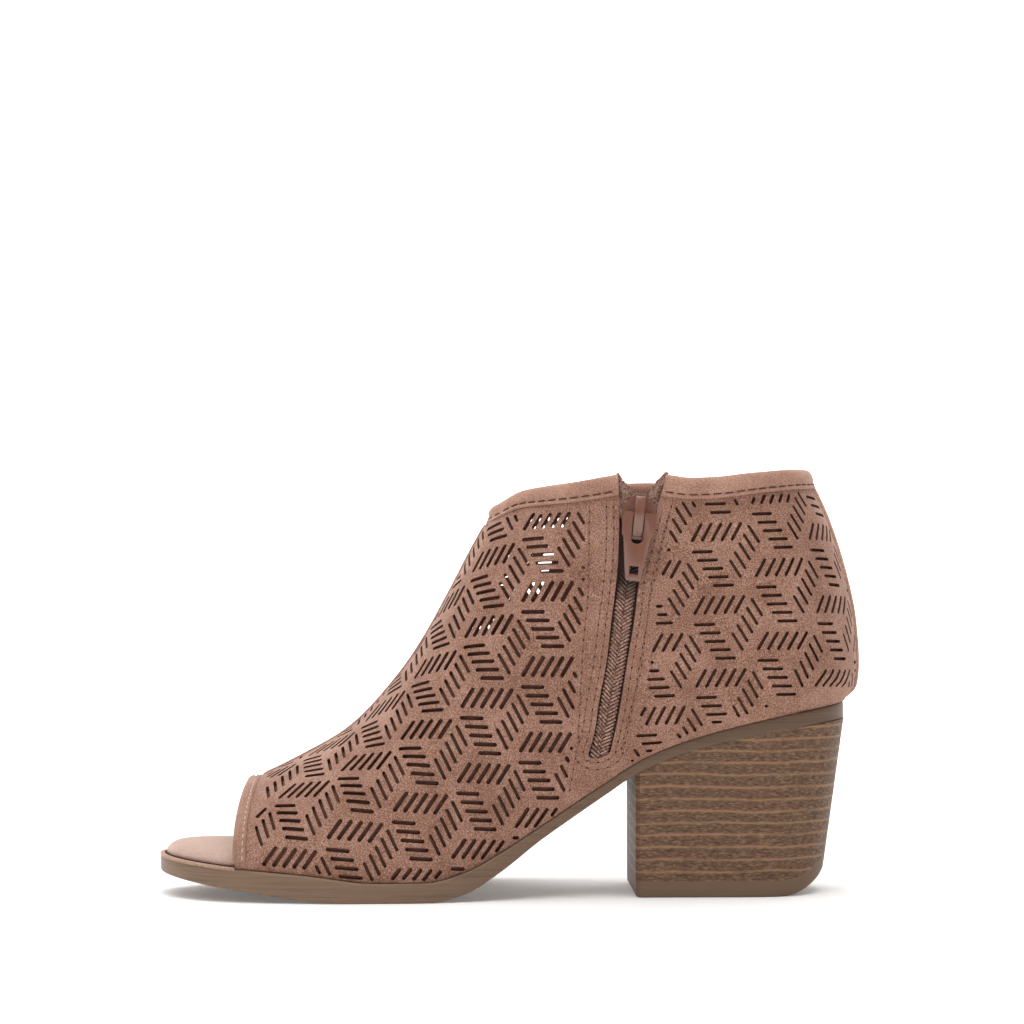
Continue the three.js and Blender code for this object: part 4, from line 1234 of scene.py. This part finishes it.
def hugging(at, out, off, band):
    """A band's section at one place on an edge, laid close to the leather below the edge."""
    ring = []
    for a, b in band:
        place = at + b * off
        normal = out
        if b < -0.4:
            hit, _, index, _ = skin_tree.find_nearest(Vector(place))
            corners = all_quads[index]
            weight = 1 / (np.linalg.norm(skin[corners] - np.array(hit), axis=1) + 0.05)
            place, normal = np.array(hit), unit(weight @ skin_normals[corners])
            normal = unit(normal + out * 0.5)
        ring.append(place + a * normal)
    return np.array(ring)


collar_at = eased(collar_at, 2)
# in front of the zip the band is drawn up a little, most of all at the zip
inner_front = (collar_at[:, 1] < 0) & (collar_at[:, 0] < 36)
collar_at[:, 2] += inner_front * (0.5 * smooth((collar_at[:, 0] + 2.5) / 9)
                                  + 0.35 * smooth((collar_at[:, 0] - 18) / 12))
collar_out, collar_up = squared(collar_at, collar_out, collar_up, 5)
STITCH = 3.8
# how far the stitches draw in the groove's three places
dents = (0.5 + 0.5 * np.cos(2 * np.pi * collar_run / STITCH))[:, None] * (0.16, 0.22, 0.12)
band = np.array([(0.05, -5.6), (0.5, -5.8), (0.95, -5.55), (1.02, -5.0), (0.72, -4.4), (1.05, -3.8),
                 (1.4, -2.7), (1.55, -1.4), (1.4, -0.2), (0.95, 0.75), (0.15, 1.3), (-0.7, 1.42),
                 (-1.6, 1.2), (-2.35, 0.6), (-2.8, -0.3), (-3.0, -1.6), (-2.9, -3.6), (-2.6, -5.2),
                 (-2.2, -5.6), (-1.75, -5.5), (-1.66, -5.0), (-1.66, -0.4), (0.05, -0.4)])
rings = []
for k in range(len(collar_at)):
    ring = band.copy()
    ring[3:6, 0] -= dents[k]
    ring = thinned(collar_at[k], ring, -3.0) if collar_at[k][0] < 20 else ring
    rings.append(hugging(collar_at[k], collar_out[k], collar_up[k], ring))
rings = np.array(rings)
# the ends of the band are cut along the zip's edges
for end, rows, spare in ((0, GAP_REAR, 0.1), (-1, GAP_FRONT, -0.1)):
    shear = gap_edge(rows, rings[end][:, 2]) + spare - rings[end][:, 0]
    near_end = 1 - smooth(np.abs(collar_run - collar_run[end]) / 7)
    rings[..., 0] += near_end[:, None] * shear
closed_piece("collar_rolled_binding", *swept(rings), BINDING_PAINTED_LIGHT, "upper", "collar_binding", sharp=70)

toe_run, toe_at, toe_out, toe_off = edge_path([
    (number[-1][0][3:], number[-1][1][3:]),
    (number[1][0][3:][::-1], number[1][1][3:][::-1])], 0.7)
toe_at = eased(toe_at, 1)
toe_out, toe_off = squared(toe_at, toe_out, toe_off, 4)
band = np.array([(0.04, -3.75), (0.4, -3.85), (0.75, -3.6), (0.86, -3.1), (0.66, -2.75),
                 (0.9, -2.3), (1.1, -1.3), (1.05, -0.2), (0.7, 0.6), (0.1, 0.98), (-0.8, 1.08),
                 (-1.7, 0.9), (-2.25, 0.3), (-2.45, -0.8), (-2.4, -3.2), (-2.1, -3.7),
                 (-1.72, -3.5), (-1.66, -0.4), (0.04, -0.4)])
rings = [hugging(at, out, off, thinned(at, band, -1.5))
         for at, out, off in zip(toe_at, toe_out, toe_off)]
closed_piece("toe_rolled_binding", *swept(rings), TOE_BINDING, "upper", "toe_binding", sharp=70)


def strip_over_seam(name, rows, profile, material, node=None, taper=1):
    """A strip laid over a seam: profile gives its height at distances to each side of it."""
    levels = [(t, height, 1) for t, height in profile] + [(t, -0.25, 0) for t, _ in profile[::-1]]
    rings = []
    for step, sides in enumerate(rows):
        thin = min(1, (step + 0.5) / taper, (len(rows) - step - 0.5) / taper)
        ring = []
        for t, height, thins in levels:
            ids = sides[t >= 0]
            run = run_of(skin[ids])
            place, normal = (at_run(v[ids], run, abs(t)) for v in (skin, skin_normals))
            ring.append(place + unit(normal) * height * (thin if thins else 1))
        rings.append(ring)
    closed_piece(name, *swept(rings), material, "upper", node)


# Back stay: a folded strip over the heel seam, from the collar binding to the sole.
rows = [[number[side][ALONG - 14:, j][::-1] for side in (-1, 1)] for j in range(1, UP - 1)]
strip_over_seam("back_stay_strip", rows, [
    (-7.4, 0.03), (-7.2, 0.5), (-6.7, 0.78), (-6.1, 0.66), (-5.0, 0.86), (-2.5, 1.0), (0.0, 1.02),
    (2.5, 1.0), (5.0, 0.86), (6.1, 0.66), (6.7, 0.78), (7.2, 0.5), (7.4, 0.03)], BINDING_PAINTED_LIGHT,
    "back_stay", 4)

# Centre-front seam: a closed seam with a fold on each side of it.
rows = [[number[side][i, UP - 9:][::-1] for side in (-1, 1)] for i in range(3, split - 3)]
strip_over_seam("centre_front_seam", rows, [
    (-1.7, 0.03), (-1.45, 0.32), (-0.9, 0.5), (-0.35, 0.36), (-0.1, 0.05), (0.1, 0.05),
    (0.35, 0.36), (0.9, 0.5), (1.45, 0.32), (1.7, 0.03)], UPPER)

# The linings' faces lie this far behind the leather's.
LINING_LIFTS = (-1.75, -2.25)


def sheet_piece(name, near, far):
    """A thin closed lining between two grids of places."""
    n = np.arange(near.shape[0] * near.shape[1]).reshape(near.shape[:2])
    face = quads_of(n).reshape(-1, 4)
    rim = np.concatenate([n[:, 0], n[-1, 1:], n[::-1, -1][1:], n[0, ::-1][1:-1]])
    faces = [*face, *(face[:, ::-1] + n.size)]
    faces += [(a, b, b + n.size, a + n.size) for a, b in zip(rim, np.roll(rim, -1))]
    points = np.vstack([near.reshape(-1, 3), far.reshape(-1, 3)])
    closed_piece(name, points, faces, LINING, "insole")


def lining(name, side, last, share):
    """A lining over a share of each rib's height, from behind the toe binding to a column."""
    ribs, count = number[side][2:last + 1], np.arange(UP + 1)
    rises = [np.linspace(0, 1, 25) * share(i) * UP for i in range(2, last + 1)]
    sheet, out = (np.array([at_run(v[ids], count, at) for ids, at in zip(ribs, rises)])
                  for v in (skin, skin_normals))
    sheet_piece(name, *(sheet + lift * out for lift in LINING_LIFTS))


def outer_share(i):
    return 0.62 + 0.33 * max(smooth((i - 84) / 22), 1 - smooth((i - 52) / 16))


def inner_share(i):
    return 0.62 + 0.3 * (1 - smooth((i - 50) / 16))


lining("lining_outer_side", 1, ALONG - 1, outer_share)
lining("lining_inner_vamp", -1, 86, inner_share)

# The inner quarter's lining starts behind the zip and ends short of the back seam.
share_v, share_s = np.meshgrid(np.linspace(0, 1, 25), np.linspace(0, 1, 50))
z = 60 + 60 * share_v
for _ in range(12):
    x0 = gap_edge(GAP_REAR, z) + 2.5
    x1 = np.interp(z, back_line[:, 1], back_line[:, 0]) - 2.5
    x = x0 + (x1 - x0) * share_s
    z = sole_top(x) + 0.8 + (collar_z(x) - 6 - sole_top(x)) * share_v
sheet_piece("lining_inner_quarter", *(side_point(x, z, -1, np.full(x.shape, lift))
                                      for lift in LINING_LIFTS))


def thread_shape(tree, given):
    """A short thread along X that arches up in its middle, its ends capped."""
    line = add(tree, "GeometryNodeCurvePrimitiveLine", {"Start": (-0.5, 0, 0), "End": (0.5, 0, 0)})
    bits = add(tree, "GeometryNodeResampleCurve", {"Curve": line, "Count": 6})
    at = add(tree, "ShaderNodeSeparateXYZ", {"Vector": add(tree, "GeometryNodeInputPosition")})
    square = add(tree, "ShaderNodeMath", {0: at, 1: at}, operation="MULTIPLY")
    arch = add(tree, "ShaderNodeMath", {0: square, 1: -6.0, 2: 1.0}, operation="MULTIPLY_ADD")
    high = add(tree, "ShaderNodeMath", {0: arch, 1: given["Rise"]}, operation="MULTIPLY")
    wide = add(tree, "ShaderNodeMath", {0: at, 1: given["Length"]}, operation="MULTIPLY")
    place = add(tree, "ShaderNodeCombineXYZ", {"X": wide, "Z": high})
    bent = add(tree, "GeometryNodeSetPosition", {"Geometry": bits, "Position": place})
    ring = add(tree, "GeometryNodeCurvePrimitiveCircle",
               {"Resolution": 6, "Radius": given["Radius"]})
    return add(tree, "GeometryNodeCurveToMesh",
               {"Curve": bent, "Profile Curve": ring, "Fill Caps": True})


def hole_shape(tree, given):
    """A ball flattened to the size given."""
    ball = add(tree, "GeometryNodeMeshIcoSphere", {"Radius": 1.0, "Subdivisions": 1})
    return add(tree, "GeometryNodeTransform", {"Geometry": ball, "Scale": given["Size"]})


def along_tree(name, shape, *sizes):
    """Copies of one small closed shape along seams, turned by attributes on their points."""
    tree, given = new_tree(name, *sizes, ("Finish", "Material"))
    placed = add(tree, "GeometryNodeInstanceOnPoints",
                 {"Points": given["Geometry"], "Instance": shape(tree, given),
                  "Rotation": turned_by_attributes(tree)})
    real = add(tree, "GeometryNodeRealizeInstances", {"Geometry": placed})
    soft = add(tree, "GeometryNodeSetShadeSmooth", {"Geometry": real})
    painted = add(tree, "GeometryNodeSetMaterial", {"Geometry": soft, "Material": given["Finish"]})
    add(tree, "NodeGroupOutput", {0: painted})
    return tree


thread_tree = along_tree("lay_thread", thread_shape, ("Length", "Float"), ("Radius", "Float"),
                         ("Rise", "Float"))
hole_tree = along_tree("lay_hole", hole_shape, ("Size", "Vector"))


def sewn(name, tree, places, normals, along, slot_name="upper", **values):
    """Copies of a tree's shape at some places, laid along their directions."""
    cloud = point_cloud(name + "_points", places, normal=normals, along=along)
    obj = new_object(name, run_tree(tree, name, cloud, **values))
    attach(obj, "boot")
    return obj


def stations(path, pitch, lift=0.0, side=-1, start=0.0):
    """Places every pitch along a side-view path on the leather, with normals and directions."""
    fine = even(np.asarray(path, float), 500)
    run = run_of(side_point(fine[:, 0], fine[:, 1], side))
    at = np.arange(start * pitch, run[-1], pitch)
    x, z = at_run(fine, run, at).T
    ahead, behind = (side_point(*at_run(fine, run, np.clip(at + d, 0, run[-1])).T, side)
                     for d in (0.5, -0.5))
    return (side_point(x, z, side, np.full(len(x), lift)), side_normal(x, z, side),
            unit(ahead - behind))


def zip_row(offset, top=136.0):
    """A row of stitches round the zip at a distance from its gap."""
    front, rear = ([p + np.array([sign * offset, 0]) for p in rows if p[1] < top][::-1]
                   for rows, sign in ((GAP_FRONT, -1), (GAP_REAR, 1)))
    arc = round_foot(front[-1], rear[-1], 1.6 + offset, 0.3)
    return np.array([*front, *arc, *rear[::-1]])


def join_rows(rows):
    return [np.vstack([r[k] for r in rows]) for k in range(3)]


row_paths = [flowing(zip_row(1.8), 300), flowing(zip_row(4.2), 300), THIRD_ROW[1:-1],
             np.array([(53.6, 133), (49.8, 117), (46.2, 101.1), (45.5, 97.1), (42.9, 75.9),
                       (39.6, 63.5), (36.1, 49.1)])]
PITCH = 3.6
threads = join_rows([stations(p, PITCH) for p in row_paths])
holes = join_rows([stations(p, PITCH, lift=0.02, start=0.5) for p in row_paths])
sewn("stitches_by_zip", thread_tree, *threads, length=2.3 * MM, radius=0.15 * MM, rise=0.07 * MM,
     finish=THREAD)
sewn("needle_holes_by_zip", hole_tree, *holes, size=(0.55 * MM, 0.26 * MM, 0.12 * MM),
     finish=NEEDLE_HOLE)

at = np.arange(STITCH / 2, collar_run[-1], STITCH)
place, out, off = (at_run(v, collar_run, at) for v in (collar_at, collar_out, collar_up))
proud = 0.68 * np.where(place[:, 0] < 20, thin_at_ridge(place[:, 1]), 1)[:, None]
sewn("stitches_collar", thread_tree, place + proud * out - 4.4 * off, out, np.cross(out, off),
     length=2.6 * MM, radius=0.26 * MM, rise=0.12 * MM, finish=THREAD_DARK)
at = np.arange(1.2, toe_run[-1] - 1, 2.35)
place, out, off = (at_run(v, toe_run, at) for v in (toe_at, toe_out, toe_off))
sewn("stitches_toe", thread_tree, place + 0.66 * out - 2.75 * off, out, np.cross(out, off),
     length=1.4 * MM, radius=0.19 * MM, rise=0.1 * MM, finish=THREAD_PALE)


def zip_middle(up):
    """Middle of the gap between its two leather edges, and half its width."""
    z = np.interp(up, zip_up, zip_z)
    front, rear = gap_edge(GAP_FRONT, z), gap_edge(GAP_REAR, z)
    return (front + rear) / 2, z, (rear - front) / 2


# Zip: woven tapes behind the leather and a coil whose loops lie in a herringbone.
TAPE_LIFTS = (-1.9, -2.5)


def zip_tape(name, node, sign, tall):
    """Half of the tape, from the coil out behind the leather on one side of the zip."""
    up = np.linspace(0.07, tall, 90)
    rings = []
    for u, x, z, half in zip(up, *zip_middle(up)):
        across = x + sign * np.linspace(parting(u), half + hidden(u), 7)[::sign]
        face = [side_point(across, np.full(7, z), -1, np.full(7, lift)) for lift in TAPE_LIFTS]
        rings.append(np.vstack([face[0], face[1][::-1]]))
    closed_piece(name, *swept(rings), TAPE_PAINTED_SHADE, "zip_tape", node)


def parting(u):
    """How far the tape's inner edges lie from the zip's middle; they part above the slider."""
    return 0.05 + 3.6 * np.clip((u - SLIDER_TOP_UP) / (1 - SLIDER_TOP_UP), 0, 1)


def hidden(u):
    """How far a tape reaches behind the leather; it narrows under the collar's binding."""
    return 4.0 - 4.6 * smooth((u - 0.84) / 0.06)


TAPE_TOP = 0.925
zip_tape("zip_tape_front_half", "zip_tape_front", -1, TAPE_TOP)
zip_tape("zip_tape_rear_half", "zip_tape_rear", 1, TAPE_TOP)

COIL_PITCH = 1.3
coil_up = zip_up[(zip_up > ZIP_FOOT + 0.002) & (zip_up < SLIDER_UP + 0.03)]
coil_x, coil_z, _ = zip_middle(coil_up)
to_slider = smooth((coil_up - 0.6) / 0.2)
slider_x = np.interp(coil_up, zip_up, zip_x)
zip_path = np.stack([coil_x * (1 - to_slider) + slider_x * to_slider, coil_z], 1)
at, out, along = stations(zip_path, COIL_PITCH, lift=-1.25)
across_zip = np.cross(out, along)
loops = []
for sign in (-1, 1):
    lean = along * 0.62 + sign * across_zip * 0.78
    shift = (0.5 * COIL_PITCH if sign > 0 else 0) * along
    loops.append((at + sign * 1.5 * across_zip + shift, out, lean))
coil = join_rows(loops)
coil_piece = sewn("zip_coil_loops", thread_tree, *coil, slot_name="zip_coil", length=3.4 * MM,
                  radius=0.44 * MM, rise=0.35 * MM, finish=COIL)
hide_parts("zip_coil")


# The tape's cut ends stand up past the slider, ragged, with loose yarns.
ends_at, ends_out, ends_along = [], [], []
chance = np.random.default_rng(7)
# how far each tab reaches from the leather's edge, at heights from its foot to its tip
TAB_FRONT = np.array([(127.5, 2.6), (133, 2.8), (136, 3.9), (138.3, 3.5), (140.0, 1.3),
                      (141.8, 0.5)])
TAB_REAR = np.array([(127.5, 3.0), (134, 3.9), (137, 3.8), (139.5, 3.0), (141, 1.5), (142.3, 0.9)])
for sign, rows, tab in ((1, GAP_FRONT, TAB_FRONT), (-1, GAP_REAR, TAB_REAR)):
    z = np.linspace(tab[0, 0], tab[-1, 0], 28)
    edge = gap_edge(rows, z)
    top = smooth((z - 133) / 9)
    rings = []
    for k in range(len(z)):
        ragged = 0.35 * math.sin(k * 2.3) + 0.2 * math.sin(k * 5.1)
        wide = np.interp(z[k], *tab.T)
        t = np.linspace(-0.8, wide + ragged, 8)
        curl = 0.5 * np.sin(t * 1.3 + k * 0.35) + 0.9 * top[k] * np.maximum(t, 0) / wide
        face = [side_point(edge[k] + sign * t, np.full(8, z[k] + 0.3 * math.sin(k * 1.7)), -1,
                           -1.3 + curl + lift) for lift in (0.25, -0.25)]
        rings.append(np.vstack([face[0], face[1][::-1]]))
        if k > 12:
            for _ in range(2):
                ends_at.append(face[0][chance.integers(4, 8)])
                ends_out.append((chance.normal(0, 0.4), -1, chance.normal(0, 0.4)))
                ends_along.append((sign * abs(chance.normal(0.5, 0.6)), chance.normal(0, 0.5),
                                   chance.normal(0.6, 0.6)))
    for _ in range(9):
        ends_at.append(face[0][chance.integers(0, 8)])
        ends_out.append((chance.normal(0, 0.4), -1, 0))
        ends_along.append((chance.normal(0, 0.5), chance.normal(0, 0.4), 1))
    closed_piece("zip_tape_end_" + ("front" if sign > 0 else "rear"), *swept(rings), TAPE_END,
                 "zip_tape")
sewn("zip_tape_loose_yarns", thread_tree, ends_at, ends_out, unit(np.array(ends_along)),
     slot_name="zip_tape", length=1.1 * MM, radius=0.1 * MM, rise=0.1 * MM, finish=FRAY)

# Zigzag overlock where the sock meets the wrapped rim.
s = np.linspace(0, 1, 400) ** 2
path = []
for side in (-1, 1):
    x = (X_TOE + 1.95) * (1 - s) + (RIM_END + 1) * s
    half = outline_half(x, -1.95)
    line = np.stack([x, side * half + plan_centre(x) * half / plan_half(x), sole_top(x) + 0.5], 1)
    path.append(line[::-1] if side < 0 else line[1:])
path = even(np.vstack(path), 121)
ahead = unit(np.gradient(path, axis=0))
zigzag = np.where(np.arange(len(path)) % 2, 0.66, -0.66)[:, None]
lean = ahead * 0.75 + np.cross(ahead, (0, 0, 1.0)) * zigzag
sewn("overlock_toe", thread_tree, path, np.tile((0, 0, 1.0), (len(path), 1)), lean,
     slot_name="insole", length=1.5 * MM, radius=0.24 * MM, rise=0.1 * MM, finish=THREAD_DARK)


# The photo's slider hangs a little nearer the toe than the zip's middle line and leans with it.
PULL_AXIS = Vector((0.043129, -0.032551, 0.128724))
DOWN_ZIP = Vector((-0.07396, -0.00925, -0.99722))
ACROSS_ZIP = Vector((0.99723, -0.00839, -0.07389))
HANG = (Matrix.Translation(PULL_AXIS - 0.9 * MM * ACROSS_ZIP)
        @ Matrix.Rotation(math.radians(1.5), 4, "Y") @ Matrix.Translation(-PULL_AXIS))


def cast_copy(node, name, width, body, window=0.0):
    """A copy of a CAD solid with its doubles merged, its edges eased and its window lengthened."""
    source = bpy.data.objects[node]
    mesh = source.data.copy()
    mesh.name = name
    mesh.transform(source.matrix_world)
    bm = bmesh.new()
    bm.from_mesh(mesh)
    bmesh.ops.remove_doubles(bm, verts=bm.verts, dist=1e-6)
    for vertex in bm.verts:
        away = vertex.co - PULL_AXIS
        if 6 * MM < away.dot(DOWN_ZIP) < 10 * MM and abs(away.dot(ACROSS_ZIP)) < 3.4 * MM:
            vertex.co += window * MM * DOWN_ZIP
    bmesh.ops.transform(bm, matrix=HANG, verts=bm.verts)
    bmesh.ops.dissolve_limit(bm, angle_limit=math.radians(2), verts=bm.verts, edges=bm.edges)
    bm.to_mesh(mesh)
    bm.free()
    mesh.materials.clear()
    mesh.materials.append(ENAMEL)
    obj = new_object(name, mesh)
    bevel = obj.modifiers.new("ease", "BEVEL")
    bevel.width = width * MM
    bevel.segments = 3
    bevel.limit_method = "ANGLE"
    bevel.angle_limit = math.radians(35)
    obj.data = evaluated_mesh(obj)
    obj.modifiers.clear()
    smooth_shade(obj, 30)
    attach(obj, body)
    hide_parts(node)


cast_copy("zip_slider", "zip_slider_cast", 0.28, "boot")
cast_copy("zip_pull", "zip_pull_cast", 0.3, "pull", window=1.3)


# Camera, floor and light: a level view from the inner side on a white paper sweep.
scene = bpy.context.scene
camera = new_object("camera", bpy.data.cameras.new("camera"))
camera.data.sensor_width = 36
camera.data.lens = 123.1
camera.data.clip_end = 20
CAMERA_AWAY, CAMERA_UP, CAMERA_TURN = 1.2, 0.1295, math.radians(-1.5)
camera.location = (0.0006 + CAMERA_AWAY * math.sin(CAMERA_TURN),
                   -CAMERA_AWAY * math.cos(CAMERA_TURN), CAMERA_UP)
camera.rotation_euler = (math.pi / 2, 0, CAMERA_TURN)
scene.camera = camera
scene.view_settings.view_transform = "Standard"

# The paper lies on the floor and curves up behind the boot, in millimetres of y and z.
curve = [(700 + 500 * math.sin(a), 500 - 500 * math.cos(a))
         for a in np.linspace(0.1, math.pi / 2, 14)]
profile = [(-3000, 0), (-1400, 0), (700, 0), *curve, (1200, 2500)]
sweep_points = [(x, y, z) for y, z in profile for x in (-3000, 3000)]
sweep_faces = [(2 * k, 2 * k + 1, 2 * k + 3, 2 * k + 2) for k in range(len(profile) - 1)]
backdrop = mesh_piece("backdrop", sweep_points, sweep_faces, BACKDROP, 60)

world = bpy.data.worlds.new("studio")
world.use_nodes = True
world.node_tree.nodes.clear()
glow = add(world.node_tree, "ShaderNodeBackground", {"Color": (1, 1, 1, 1), "Strength": 0.12})
add(world.node_tree, "ShaderNodeOutputWorld", {"Surface": glow})
scene.world = world


def soft_box(name, place, aim, size, watts):
    light = bpy.data.lights.new(name, "AREA")
    light.shape = "RECTANGLE"
    light.size, light.size_y = size
    light.energy = watts
    obj = new_object(name, light)
    obj.location = place
    obj.rotation_euler = (Vector(aim) - Vector(place)).to_track_quat("-Z", "Y").to_euler()


soft_box("key", (-0.8, -1.3, 1.3), (0, 0, 0.07), (1.3, 1.0), 7)
soft_box("fill", (1.3, -1.1, 0.9), (0, 0, 0.07), (1.2, 1.2), 2.5)
soft_box("top", (-0.1, -0.15, 1.7), (0, 0, 0.05), (1.8, 1.4), 30)
